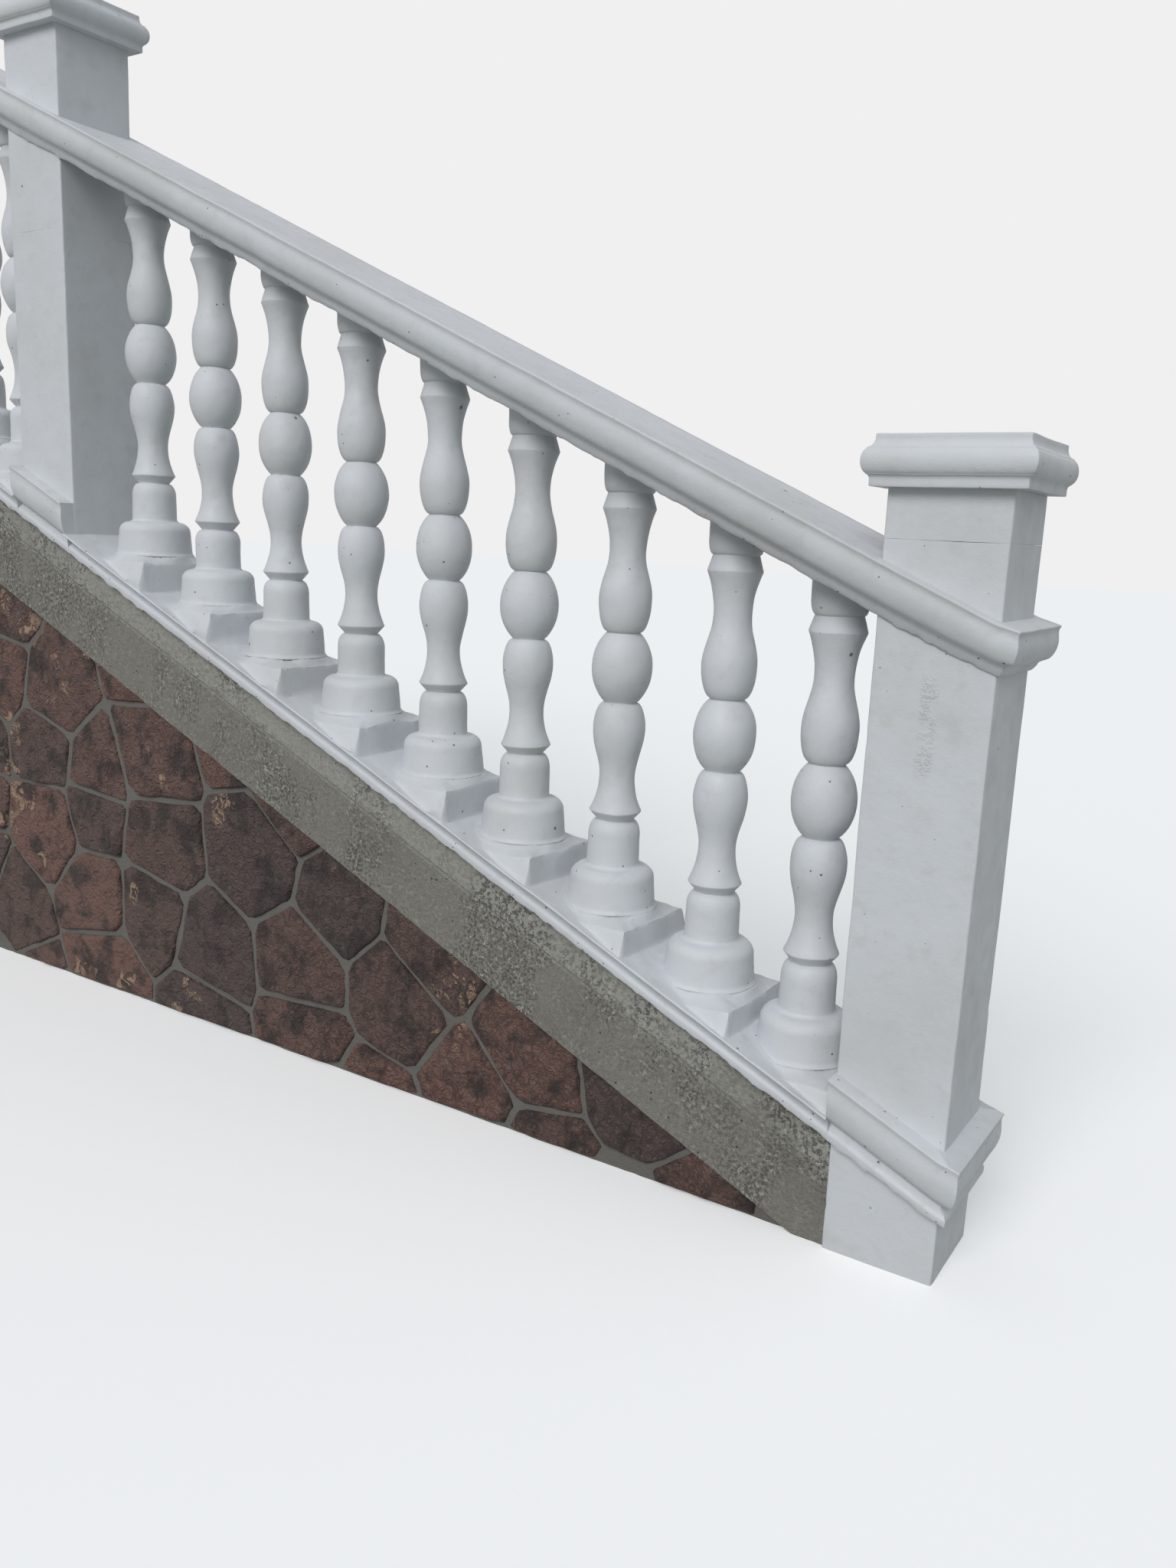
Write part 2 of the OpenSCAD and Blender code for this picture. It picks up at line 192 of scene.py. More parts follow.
class BALUSTRADE_PG_rails(bpy.types.PropertyGroup):
    """Sizes of the rails, mouldings and beds"""
    fillet_out: length("Fillet stand-out", "How far the handrail's bottom fillet stands out", 0.004)
    fillet_lean: length("Fillet lean", "How far the bottom fillet leans out", 0.009)
    return_lift: share("Return lift", "How much flatter than the rake a moulding turns the corner", 0.40)
    mitre_rise: length("Mitre rise", "Rise of the rail moulding's foot to the lowest near mitre", 0.012)
    fillet_height: length("Fillet height", "Height of the bottom fillet", 0.020)
    belly_out: length("Belly stand-out", "How far the mouldings' belly stands out", 0.045)
    fascia_out: length("Fascia stand-out", "How far the base rail's lower face stands out", 0.021)
    fascia_height: length("Fascia height", "Height of the base rail's lower face", 0.038)
    groove: length("Groove", "Depth of the groove over the base rail's lower face", 0.015)
    arris: length("Arris", "How far the paint rounds each arris", 0.0022)
    ragged: length("Ragged edge", "How far the lower paint edges wander", 0.0035)
    bed_haunch: length("Bed haunch", "Fall of a bed's top from the plinth to its edges", 0.018)
    bed_side: length("Bed side", "Half the width of the mortar beds", 0.141)
    bed_end: length("Bed end", "Reach of the beds from the balusters' axes", 0.126)
    bed_setback: length("Bed setback", "How much shorter the uppermost bed is than the others", 0.006)
    bed_lumps: length("Bed lumps", "Unevenness of the mortar beds", 0.0034)


class BALUSTRADE_PG_newels(bpy.types.PropertyGroup):
    """Sizes of the newels and their caps"""
    cap_fillet_out: length("Cap fillet", "How far the cap's bottom fillet stands out", 0.030)
    cap_top_out: length("Cap top", "How far the cap's top edge stands out", 0.025)
    corner: length("Corner", "Radius of the newels' worn corners", 0.0045)
    chips: length("Chips", "Depth of the chips along the newels' corners", 0.0045)
    joint: length("Joint", "Depth of the hairline joints between blocks", 0.00015)


class BALUSTRADE_PG_wall(bpy.types.PropertyGroup):
    """Sizes of the concrete string and the rubble wall"""
    strip_height: length("Strip height", "Height of the band's upper strip", 0.100)
    step: length("Step", "How far the lower strip lies behind the upper one", 0.005)
    coarseness: length("Coarseness", "Depth of the band's coarse surface", 0.0026)
    stone_width: length("Stone width", "Usual width of a rubble stone", 0.36)
    stone_height: length("Stone height", "Usual height of a rubble stone", 0.29)
    joint_width: length("Joint width", "Width of the cement joints between stones", 0.018)
    stone_proud: length("Stone face", "How far the stones' cleft faces stand out", 0.012)
    seed: bpy.props.IntProperty(name="Seed", description="Seed of the wall's stones", default=11, min=0)


class BALUSTRADE_PG_finish(bpy.types.PropertyGroup):
    """Colours and wear of the finishes"""
    white: paint_colour("White paint", "Masonry paint", (0.630, 0.648, 0.680))
    white_aged: paint_colour("Aged paint", "Masonry paint where it has weathered", (0.520, 0.530, 0.530))
    # Near-black of the pinholes and nicks in the paint and pointing: their dirt together with painted shade
    # inside the holes
    pit_shade_and_dirt: paint_colour("Soil", "Dirt in pinholes and under edges", (0.085, 0.080, 0.072))
    strip: paint_colour("Strip concrete", "Sandy concrete of the band's upper strip", (0.330, 0.322, 0.295))
    concrete: paint_colour("Concrete", "Concrete of the band's lower part", (0.225, 0.216, 0.192))
    concrete_dark: paint_colour("Dark concrete", "Aggregate and stains", (0.095, 0.085, 0.070))
    stone_red: paint_colour("Red stone", "Reddish rubble stone", (0.200, 0.108, 0.088))
    stone_brown: paint_colour("Brown stone", "Brown rubble stone", (0.098, 0.070, 0.064))
    stone_pale: paint_colour("Pale stone", "Freshly broken face of the stone", (0.520, 0.350, 0.240))
    mortar: paint_colour("Pointing", "Cement pointing", (0.155, 0.145, 0.130))
    plaster: paint_colour("Plaster", "Cement plaster on the stair side", (0.235, 0.215, 0.185))
    pinholes: share("Pinholes", "Share of the paint that has pinholes", 0.34)


class BALUSTRADE_PG_stage(bpy.types.PropertyGroup):
    """Camera, lamps and floor"""
    eye: bpy.props.FloatVectorProperty(name="Eye", description="Place of the camera", size=3,
                                       default=(3.5998, -2.5751, 1.5510), subtype="TRANSLATION",
                                       unit="LENGTH")
    heading: turn("Heading", "Camera's turn to the left of the wall's normal", 0.5633)
    dip: turn("Dip", "How far the camera looks down", 0.1993)
    roll: turn("Roll", "Camera's roll", 0.0439)
    lens: bpy.props.FloatProperty(name="Lens", description="Focal length on a sensor 36 mm wide",
                                  default=38.063, min=10.0, unit="CAMERA")
    sky: share("Sky light", "Strength of the even light from all round", 0.43)
    key: bpy.props.FloatProperty(name="Key light", description="Strength of the soft key light",
                                 default=1.8, min=0.0)
    floor: paint_colour("Floor", "Plain floor as the camera sees it", (0.90, 0.90, 0.90))
    floor_bounce: paint_colour("Floor bounce", "Tone of the light thrown back", (0.30, 0.31, 0.28))


class BALUSTRADE_PG_settings(bpy.types.PropertyGroup):
    """All settings of the balustrade"""
    baluster: group(BALUSTRADE_PG_baluster, "Balusters", "Baluster sizes")
    rails: group(BALUSTRADE_PG_rails, "Rails", "Rail and bed sizes")
    newels: group(BALUSTRADE_PG_newels, "Newels", "Newel sizes")
    wall: group(BALUSTRADE_PG_wall, "String wall", "Wall sizes")
    finish: group(BALUSTRADE_PG_finish, "Finishes", "Colours and wear")
    stage: group(BALUSTRADE_PG_stage, "Stage", "Camera, lamps and floor")


# Unevenness of cast, trowelled and split surfaces

# Waves of a surface: how far they move it, their size, layers and seed
SLOW_WAVES = (1.1 * MM, 0.22, 2, 31)
RIPPLES = (0.35 * MM, 0.03, 2, 37)
BLOCK_WAVES = (0.9 * MM, 0.16, 3, 83)
CAP_WAVES = (0.8 * MM, 0.12, 3, 91)
# Roughness of a surface: size, layers and seed
CAST_WAVES = (0.055, 3, 5)
BED_LUMPS = (0.07, 3, 51)
BAND_GRAIN = (0.045, 4, 103)
STONE_SIDES = (0.04, 3, 131)
STONE_FACES = (0.07, 4, 137)
POINTING = (0.06, 3, 151)
PLASTER = (0.2, 4, 157)
# The same, and the least value that counts
CORNER_CHIPS = (0.035, 4, 81, 0.55)
CAP_CHIPS = (0.02, 3, 93, 0.75)
STONE_HOLLOWS = (0.10, 3, 139, 0.2)
# Steps between the sections of long pieces
RAIL_STEP, NEWEL_RUN_STEP, BLOCK_STEP, BAND_STEP, CORE_STEP = 11 * MM, 8 * MM, 16 * MM, 13 * MM, 24 * MM


def lattice_value(cell, seed):
    """Value from -1 to 1 for each integer cell."""
    h = cell[..., 0] * 374761393 + cell[..., 1] * 668265263 + cell[..., 2] * 362437
    h = (h + seed * 974634777) & 0xFFFFFFFF
    h = ((h ^ (h >> 13)) * 1274126177) & 0xFFFFFFFF
    return ((h ^ (h >> 16)) & 0xFFFF) / 32767.5 - 1.0


def undulation(points, size, seed):
    """Smooth value from -1 to 1 at each point, with lumps of the given size."""
    scaled = np.asarray(points, float) / size
    cell = np.floor(scaled).astype(np.int64)
    part = scaled - cell
    ease = part ** 3 * (part * (6 * part - 15) + 10)
    weights = [(1 - ease[..., k], ease[..., k]) for k in range(3)]
    total = 0.0
    for dx, dy, dz in itertools.product((0, 1), repeat=3):
        weight = weights[0][dx] * weights[1][dy] * weights[2][dz]
        total = total + weight * lattice_value(cell + np.array([dx, dy, dz]), seed)
    return total


def roughness(points, size, layers, seed):
    """Undulation in several ever finer layers."""
    return sum(undulation(points, size / 2 ** k, seed + 17 * k) / 2 ** k for k in range(layers))


def lumps(points, size, layers, seed, least):
    """Only the roughness above the least value, from 0 to 1."""
    return np.clip(roughness(points, size, layers, seed) - least, 0, 1)


def shifted(points, amount, size, layers, seed):
    """Points moved a little in every direction, alike on pieces that meet."""
    shift = np.stack([roughness(points, size, layers, seed + 101 * k) for k in range(3)], -1)
    return points + amount * shift


def fading(distance, reach):
    """1 at no distance, and 0 from the given reach on."""
    return np.clip(1 - distance / reach, 0, 1)


# Outlines

SHARP_TURN = math.radians(24)


def ellipse(centre, radii, start, end, steps):
    angle = np.radians(np.linspace(start, end, steps + 1))
    return np.stack([centre[0] + radii[0] * np.cos(angle), centre[1] + radii[1] * np.sin(angle)], -1)


def rounded_arrises(outline, reach):
    """An open outline with its sharp corners rounded as paint rounds them."""
    points = [outline[0]]
    for before, here, after in zip(outline[:-2], outline[1:-1], outline[2:]):
        a, b = here - before, after - here
        la, lb = np.linalg.norm(a), np.linalg.norm(b)
        if min(la, lb) < 1e-7:
            continue
        turn = math.acos(max(-1.0, min(1.0, float(a @ b) / (la * lb))))
        if turn < SHARP_TURN:
            points.append(here)
            continue
        start = here - a / la * min(reach, 0.45 * la)
        end = here + b / lb * min(reach, 0.45 * lb)
        points += [start, (start + 2 * here + end) / 4, end]
    points.append(outline[-1])
    return np.array(points)


def filled(outline, step):
    """An outline with points added so that none lie further apart than step."""
    points = [outline[0]]
    for a, b in zip(outline[:-1], outline[1:]):
        count = max(1, int(math.ceil(np.linalg.norm(b - a) / step)))
        points += [a + (b - a) * k / count for k in range(1, count + 1)]
    return np.array(points)


# Stand-out and height of the mouldings' swept face over the bottom fillet, as
# shares of the belly's stand-out and of the face's height
SWEPT_FACE = (
    (0.41, 0.05), (0.57, 0.11), (0.73, 0.17), (0.84, 0.26), (0.91, 0.35), (0.97, 0.46), (1.0, 0.58),
    (0.99, 0.70), (0.965, 0.81), (0.965, 0.88), (1.0, 0.93), (1.035, 0.965), (1.04, 0.985), (1.01, 1.0))
# How far the base rail's lip lies inside its stand-out and under the seat, in
# millimetres
LIP_FACE = ((14, 10), (6, 7), (3, 4), (5, 1), (10, 0))


def moulding_outline(rails, foot, height):
    """Stand-out and height of a moulding: its foot, a hollow that swells
    into the belly, and a soft top edge."""
    face = np.array(SWEPT_FACE) * (rails.belly_out, height - foot[-1][1]) + (0.0, foot[-1][1])
    return rounded_arrises(filled(np.concatenate([foot, face]), 7 * MM), rails.arris)


def fillet_foot(rails):
    """The handrail's thin bottom fillet, which leans out."""
    out, lean, height = rails.fillet_out, rails.fillet_lean, rails.fillet_height
    return [[out, 0.0], [out + 0.3 * lean, 0.15 * height], [out + lean, 0.72 * height],
            [out + 1.2 * lean, height]]


def fascia_foot(rails):
    """The base rail's lower face, with the groove over it."""
    out, height = rails.fascia_out, rails.fascia_height
    return [[out - 1.5 * MM, 0.0], [out, 3 * MM], [out + 1 * MM, 0.42 * height],
            [out - 3 * MM, 0.62 * height], [out - rails.groove, 0.84 * height],
            [out - rails.groove, 1.02 * height]]


def lip_outline(rails):
    """Stand-out and height of the base rail's face between the newels."""
    height = BASE_FOOT_DROP - SEAT_DROP
    lip = (LIP_OUT, height) - np.array(LIP_FACE) * MM
    hollow = [[rails.fascia_out - 4 * MM, height - 15 * MM]]
    return rounded_arrises(filled(np.concatenate([fascia_foot(rails), hollow, lip]), 8 * MM), rails.arris)


def cap_outline(newels, height):
    """Stand-out and height of a cap: fillet, hollow, belly, cove and top edge."""
    fillet, cavetto, belly = 0.13 * height, 0.10 * height, 0.50 * height
    out, top = newels.cap_fillet_out, newels.cap_top_out
    outline = np.concatenate([
        [[out - 12 * MM, 0.0], [out, 0.0]],
        ellipse((out + 7 * MM, fillet), (7 * MM, cavetto), 180, 96, 5),
        ellipse((out + 2 * MM, fillet + cavetto + belly / 2),
                (CAP_BELLY_OUT - out - 2 * MM, belly / 2), -70, 70, 16),
        ellipse((CAP_BELLY_OUT - 7 * MM, height * 0.92),
                (CAP_BELLY_OUT - 7 * MM - top, height * 0.19), 262, 184, 8),
        [[top, height * 0.93], [top, height], [top - 20 * MM, height]],
    ])
    return rounded_arrises(filled(outline, 9 * MM), 2.5 * MM)


# Shares of the way in radius and in height from one point of a turned outline
# to the next
CURVES = {
    "line": lambda t: (t, t),
    "swell": lambda t: ((1 - np.cos(np.pi * t)) / 2, t),
    "round_in": lambda t: (1 - np.cos(np.pi / 2 * t), np.sin(np.pi / 2 * t)),
    "round_out": lambda t: (np.sin(np.pi / 2 * t), 1 - np.cos(np.pi / 2 * t)),
    "flare": lambda t: (t ** 2, t),
    "unflare": lambda t: (1 - (1 - t) ** 2, t),
}
# Height of the ball as a share of its width
BALL_TALL = 1.36


def turned_outline(b):
    """Radius and height of a baluster from its plinth's foot up to the start
    of the head's drum."""
    ball_tall = BALL_TALL * b.ball_radius
    crease_angle = math.acos(b.crease_radius / b.ball_radius)
    crease = ball_tall * math.sin(crease_angle)
    centre = b.ball_height
    ring = centre - b.lower_ring
    pinch = ring - b.lower_bevel
    top_ring = centre + b.upper_ring
    top_pinch = top_ring + b.upper_bevel
    pinch_radius = b.crease_radius + 5 * MM
    stretches = [
        ("line", b.plinth_foot, 3 * MM, 1),
        ("unflare", b.plinth_top + 5 * MM, 15 * MM, 4),
        ("line", b.plinth_top, b.plinth_height - b.plinth_shoulder, 5),
        ("round_in", b.plinth_top - b.plinth_shoulder, b.plinth_height, 9),
        ("line", b.drum_radius + 6 * MM, b.plinth_height + 2 * MM, 2),
        ("unflare", b.drum_radius + 1 * MM, b.plinth_height + 9 * MM, 4),
        ("line", b.drum_radius, pinch - b.drum_round, 4),
        ("round_in", pinch_radius, pinch, 8),
        ("line", b.ring_radius, ring, 3),
        ("unflare", b.neck_radius, centre - b.lower_neck, 8),
        ("swell", b.belly_radius, centre - b.lower_belly, 10),
        ("round_in", b.crease_radius, centre - crease, 10),
        ("ball", b.crease_radius, centre + crease, 16),
        ("round_out", b.belly_radius, centre + b.upper_belly, 10),
        ("swell", b.neck_radius, centre + b.upper_neck, 10),
        ("flare", b.ring_radius, top_ring, 8),
        ("line", pinch_radius + 9 * MM, top_pinch, 4),
        ("round_out", b.drum_radius, top_pinch + b.drum_round, 8),
    ]
    points = [(b.plinth_foot - 3 * MM, 0.0)]
    for curve, radius, height, steps in stretches:
        r0, z0 = points[-1]
        t = np.arange(1, steps + 1) / steps
        if curve == "ball":
            angle = crease_angle * (2 * t - 1)
            r, z = b.ball_radius * np.cos(angle), centre + ball_tall * np.sin(angle)
        else:
            outward, upward = CURVES[curve](t)
            r, z = r0 + (radius - r0) * outward, z0 + (height - z0) * upward
        points += list(zip(r, z))
    return rounded_arrises(np.array(points), 1.8 * MM)


# Meshes

SHARP_EDGE = math.radians(50)


def closed_tube(rings):
    """Points and outward faces of closed rings joined along the row, with
    both ends closed."""
    rows, columns = rings.shape[:2]
    points = np.concatenate([rings.reshape(-1, 3), [rings[0].mean(0), rings[-1].mean(0)]])
    around = np.arange(columns)
    after = (around + 1) % columns
    row = np.arange(rows - 1)[:, None] * columns
    sides = np.stack([row + around, row + after, row + columns + after, row + columns + around], -1)
    last = (rows - 1) * columns
    start = np.stack([np.full(columns, rows * columns), after, around], -1)
    end = np.stack([np.full(columns, rows * columns + 1), last + around, last + after], -1)
    faces = [sides.reshape(-1, 4), start, end]
    if volume(points, faces) < 0:
        faces = [f[:, ::-1] for f in faces]
    return points, faces


def volume(points, faces):
    """Volume inside a shell, negative where its faces point inward."""
    total = 0.0
    for f in faces:
        for k in range(1, f.shape[1] - 1):
            a, b, c = points[f[:, 0]], points[f[:, k]], points[f[:, k + 1]]
            total += np.einsum("ij,ij->", a, np.cross(b, c))
    return total / 6


def make_piece(name, look, slot, tubes, *nodes, tints=None):
    """One piece made of closed tubes in a finish, in place of CAD nodes. Each
    tube may have a tint of its own."""
    points, faces, count = [], [], 0
    for rings in tubes:
        shell, sides = closed_tube(rings)
        points.append(shell)
        faces += [face for block in sides for face in (block + count).tolist()]
        count += len(shell)
    mesh = bpy.data.meshes.new(name)
    mesh.from_pydata(np.clip(np.concatenate(points), *map(np.array, CAD_BOX)).tolist(), [], faces)
    mesh.validate()
    mesh.polygons.foreach_set("use_smooth", [True] * len(mesh.polygons))
    mesh.set_sharp_from_angle(angle=SHARP_EDGE)
    if tints:
        values = np.repeat(tints, [len(shell) for shell in points])
        mesh.attributes.new(TINT, "FLOAT", "POINT").data.foreach_set("value", values)
    mesh.materials.append(finish(look))
    obj = bpy.data.objects.new(name, mesh)
    bpy.context.scene.collection.objects.link(obj)
    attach(obj, BODY)
    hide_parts(*nodes)


def painted(name, tubes, *nodes):
    """A piece of painted cast stone."""
    make_piece(name, "white_painted_stone", "white_painted_stone", tubes, *nodes)


def stations(start, end, step):
    return np.linspace(start, end, max(2, int(math.ceil((end - start) / step)) + 1))


def inner_steps(start, end, count):
    """Even places between a start and an end, without the two."""
    return np.linspace(start, end, count + 2)[1:-1]


def closed_section(left, top):
    """Closed section as Y and height: a left face from its foot up, the given
    top, the face mirrored to the right, and a flat foot."""
    foot = inner_steps(-left[0, 0], left[0, 0], 6)
    return np.concatenate([left, top, left[::-1] * (-1, 1), np.column_stack([foot, 0 * foot])])


def raking(xs, section, drop):
    """Rings of a closed section over a raking line, at places along X."""
    xx, yy = np.meshgrid(xs, section[:, 0], indexing="ij")
    return np.stack([xx, yy, rake_z(xx, drop) + section[:, 1]], -1)


# Balusters

ROUND_ABOUT = np.linspace(0, 2 * math.pi, 52, endpoint=False)
# How far a baluster's head runs on into the handrail
HEAD_SINK = 2 * MM
# Most that a baluster leans as it was set, as a slope
MOST_LEAN = 0.0025


def baluster_rings(b, node, lean):
    """Rings of a baluster from its plinth to the head that is cut to the
    handrail's soffit. Its foot may stand out of plumb under its head."""
    foot_x, foot_z = baluster_place(node)
    cos, sin = np.cos(ROUND_ABOUT), np.sin(ROUND_ABOUT)
    radius, height = turned_outline(b).T
    rings = np.stack([foot_x + np.outer(radius, cos), np.outer(radius, sin),
                      foot_z + height[:, None] + 0 * cos], -1)
    left_over = rake_z(rings[-1, :, 0], SOFFIT_DROP) + HEAD_SINK - rings[-1, :, 2]
    head = [rings[-1] + np.stack([0 * cos, 0 * cos, left_over * t], -1) for t in (0.3, 0.65, 1.0)]
    rings = np.concatenate([rings, head])
    share_up = (rings[..., 2] - foot_z) / (height[-1] + b.drum_round)
    rings[..., 0] -= OUT_OF_PLUMB.get(node, 0.0) * np.clip(share_up, 0, 1)
    rings[..., :2] += lean * (rings[..., 2:3] - foot_z)
    return shifted(rings, b.wobble, *CAST_WAVES)


def make_balusters(s):
    jitter = np.random.default_rng(4)
    for bay in BAYS:
        for node in baluster_nodes(bay):
            lean = jitter.uniform(-MOST_LEAN, MOST_LEAN, 2)
            painted(node + "_cast", [baluster_rings(s.baluster, node, lean)], node)


# Rails

# Hollow of the handrail's top
RAIL_HOLLOW = 1.5 * MM
# Places across the base rail's seat, closest together where beds and plinths end
SEAT_ACROSS = np.array([0, 14, 28, 42, 54, 64, 73, 81, 88, 94, 99, 104, 108, 112, 116, 120, 125, 130,
                        134, 136, 138, 140, 142, 144, 146, 149, 153, 158, 163]) * MM
# Places along X beside a bed's end and a plinth's foot
BY_BED_END = np.array([-9, -6, -4, -2, -0.5, 1, 2.5, 4, 5.5, 7, 8.5, 10, 12]) * MM
BY_PLINTH = np.array([-12, -8, -4, 0, 3, 6, 9, 13]) * MM
LEAST_STEP = 0.9 * MM
# Slopes of a bed's ends and sides, how far its edges wave, how softly it
# meets the seat, and the bead of paint round the plinths
END_SLOPE, SIDE_SLOPE = 7, 2.6
BED_WAVE, BED_SOFTNESS, PAINT_BEAD = 5 * MM, 6 * MM, 2.5 * MM


def hand_run(rings, heights, outside, edge):
    """A painted moulding with the lowest few millimetres of its outside
    wandering and dripping, slow waves and fine ripples."""
    reach, seed, rise = edge
    low = fading(np.where(outside, np.nan_to_num(heights, nan=1.0), 1.0), rise)
    along = rings.copy()
    along[..., 1] = np.sign(along[..., 1]) * 0.3
    along[..., 2] = 0
    wander = roughness(along, 0.035, 4, seed)
    drip = lumps(along, 0.021, 1, seed + 3, 0.55) * 2.2
    rings[..., 2] -= low * reach * (wander * 0.6 + drip)
    return shifted(shifted(rings, *SLOW_WAVES), *RIPPLES)


def rail_edge(rails):
    """Reach, seed and height of the ragged edge under the handrails."""
    return rails.ragged, 21, 10 * MM


def base_edge(rails):
    """Reach, seed and height of the ragged edge under the base rails."""
    return 1.6 * rails.ragged, 71, 14 * MM


def make_handrails(s):
    outline = moulding_outline(s.rails, fillet_foot(s.rails), SOFFIT_DROP - HANDRAIL_TOP_DROP)
    left = outline * (-1, 1) - (HALF_W, 0)
    edge, height = left[-1]
    across = inner_steps(edge, -edge, 14)
    hollow = RAIL_HOLLOW * (1 - (across / edge) ** 2)
    section = closed_section(left, np.column_stack([across, height - hollow]))
    for bay in BAYS:
        rings = raking(stations(*between(bay), RAIL_STEP), section, SOFFIT_DROP)
        rings = hand_run(rings, section[:, 1], np.abs(section[:, 0]) > HALF_W, rail_edge(s.rails))
        painted(bay + "_handrail_moulded", [rings], bay + "_handrail")


def bed_surface(x, y, bay, rails, plinth):
    """Height of the base rail's seat with the mortar beds on it, where the
    balusters stand on plinths of the given radius."""
    spot = np.stack([x, y, np.zeros_like(x)], -1)
    lump = roughness(spot, *BED_LUMPS) * rails.bed_lumps
    surface = rake_z(x, SEAT_DROP) + 0.5 * lump
    for k, node in enumerate(baluster_nodes(bay)):
        axis, foot_z = baluster_place(node)
        away_x, away_y = np.abs(x - axis), np.abs(y)
        away = np.hypot(away_x, away_y)
        beside = away - plinth
        wave = BED_WAVE * undulation(spot, 0.09, 61 + k)
        reach = rails.bed_end - (rails.bed_setback if k == 0 else 0.0)
        edge = away * np.minimum(reach / np.maximum(away_x, MM), rails.bed_side / np.maximum(away_y, MM))
        haunch = np.clip(beside / np.maximum(edge - plinth, 2 * MM), 0, 1)
        bed = foot_z - rails.bed_haunch * haunch ** 0.9 + lump
        past_end = np.maximum(away_x - reach - wave, 0)
        past_side = np.maximum(away_y - rails.bed_side - 0.5 * wave, 0)
        bed -= np.hypot(END_SLOPE * past_end, SIDE_SLOPE * past_side)
        gap = np.clip(0.5 + (bed - surface) / (2 * BED_SOFTNESS), 0, 1)
        surface = surface + (bed - surface) * gap + BED_SOFTNESS * gap * (1 - gap)
        bead = PAINT_BEAD * fading(beside, 8 * MM) ** 2
        surface = surface + bead * (bed > foot_z - 12 * MM)
    return surface


def bed_stations(bay, rails, plinth):
    """Places along X for the base rail's sections, close at plinths and bed ends."""
    start, end = between(bay)
    xs = [stations(start, end, RAIL_STEP)]
    for node in baluster_nodes(bay):
        axis = baluster_place(node)[0]
        by_plinth = plinth + BY_PLINTH
        xs += [axis + rails.bed_end + BY_BED_END, axis + by_plinth, axis - by_plinth]
    keep = [start]
    for x in np.sort(np.concatenate(xs)):
        if x - keep[-1] > LEAST_STEP and x <= end:
            keep.append(x)
    keep[-1] = end
    return np.array(keep)


def make_base_rails(s):
    rails, plinth = s.rails, s.baluster.plinth_foot
    across = np.concatenate([-SEAT_ACROSS[:0:-1], SEAT_ACROSS])
    left = lip_outline(rails) * (-1, 1) - (HALF_W, 0)
    section = closed_section(left, np.column_stack([across, np.full(len(across), np.nan)]))
    on_top = np.isnan(section[:, 1])
    for bay in BAYS:
        rings = raking(bed_stations(bay, rails, plinth), np.nan_to_num(section), BASE_FOOT_DROP)
        rings[:, on_top, 2] = bed_surface(*np.moveaxis(rings[:, on_top, :2], -1, 0), bay, rails, plinth)
        rings = hand_run(rings, section[:, 1], np.abs(section[:, 0]) > HALF_W, base_edge(rails))
        painted(bay + "_base_rail_and_beds", [rings], bay + "_base_rail", bay + "_bedding_mortar")


# Newels

# Side on which a newel ends the stair, along X
END_SIDE = {"top": -1, "middle": 0, "bottom": 1}
# Share of the mitre's rise that is left at the far mitre
FAR_RISE = 0.35
# How far the mouldings run into the newels and their chips run along a corner
LET_IN, CHIP_REACH = 5 * MM, 14 * MM
# How far a joint's hairline reaches, the heights of the rings beside it, and
# where a block's even rings start
JOINT_REACH = 1.8 * MM
BY_JOINT = np.array([0, 0.6, 1.6, 3.5]) * MM
JOINT_CLEAR = 12 * MM
# Radius of the caps' corners, depth of the chips along their feet, and how far
# up those reach
CAP_CORNER, CAP_CHIP, CAP_CHIP_REACH = 2.6 * MM, 3.5 * MM, 12 * MM


def band_rings(outline, drop, name, rails, edge, rise):
    """Tubes of a newel's raking moulding: one on each face, or a single one
    with mitred returns where the newel ends the stair."""
    x, side = NEWEL_X[name], END_SIDE[name]
    section = np.concatenate([outline, [[-LET_IN, outline[-1, 1]], [-LET_IN, outline[0, 1]]]])
    out, height = section.T
    reach = HALF_W + out

    def ring(at, y, lift):
        past = np.maximum(side * (at - x) - HALF_W, 0.0)
        foot = rake_z(at, drop) + rails.return_lift * side * SLOPE * past
        return np.stack([at + 0 * out, y, foot + height + lift * (1 - height / height.max())], -1)

    if side == 0:
        runs = [[ring(at, face * reach, 0.0) for at in stations(x - HALF_W, x + HALF_W, NEWEL_RUN_STEP)]
                for face in (-1, 1)]
    else:
        near, far = ([ring(x - side * HALF_W + t * side * (HALF_W + reach), face * reach, rise * part * t * t)
                      for t in np.linspace(0, 1, 36)] for face, part in ((-1, 1.0), (1, FAR_RISE)))
        turn = [ring(x + side * reach, t * reach, rise * (1.0 - (1 - FAR_RISE) * (t + 1) / 2))
                for t in inner_steps(-1, 1, 38)]
        runs = [near + turn + far[::-1]]
    return [hand_run(np.array(run), height, out > 0, edge) for run in runs]


def make_newel_mouldings(s):
    rails = s.rails
    rail = moulding_outline(rails, fillet_foot(rails), SOFFIT_DROP - HANDRAIL_TOP_DROP)
    base = moulding_outline(rails, fascia_foot(rails), BASE_FOOT_DROP - BASE_MOULDING_TOP_DROP)
    for name in NEWELS:
        rise = rails.mitre_rise if name == "bottom" else 0.0
        for part, outline, drop, edge, lift in (
                ("rail_moulding", rail, SOFFIT_DROP, rail_edge(rails), rise),
                ("base_moulding", base, BASE_FOOT_DROP, base_edge(rails), 0.0)):
            node = f"{name}_newel_{part}"
            painted(node + "_run", band_rings(outline, drop, name, rails, edge, lift), node)


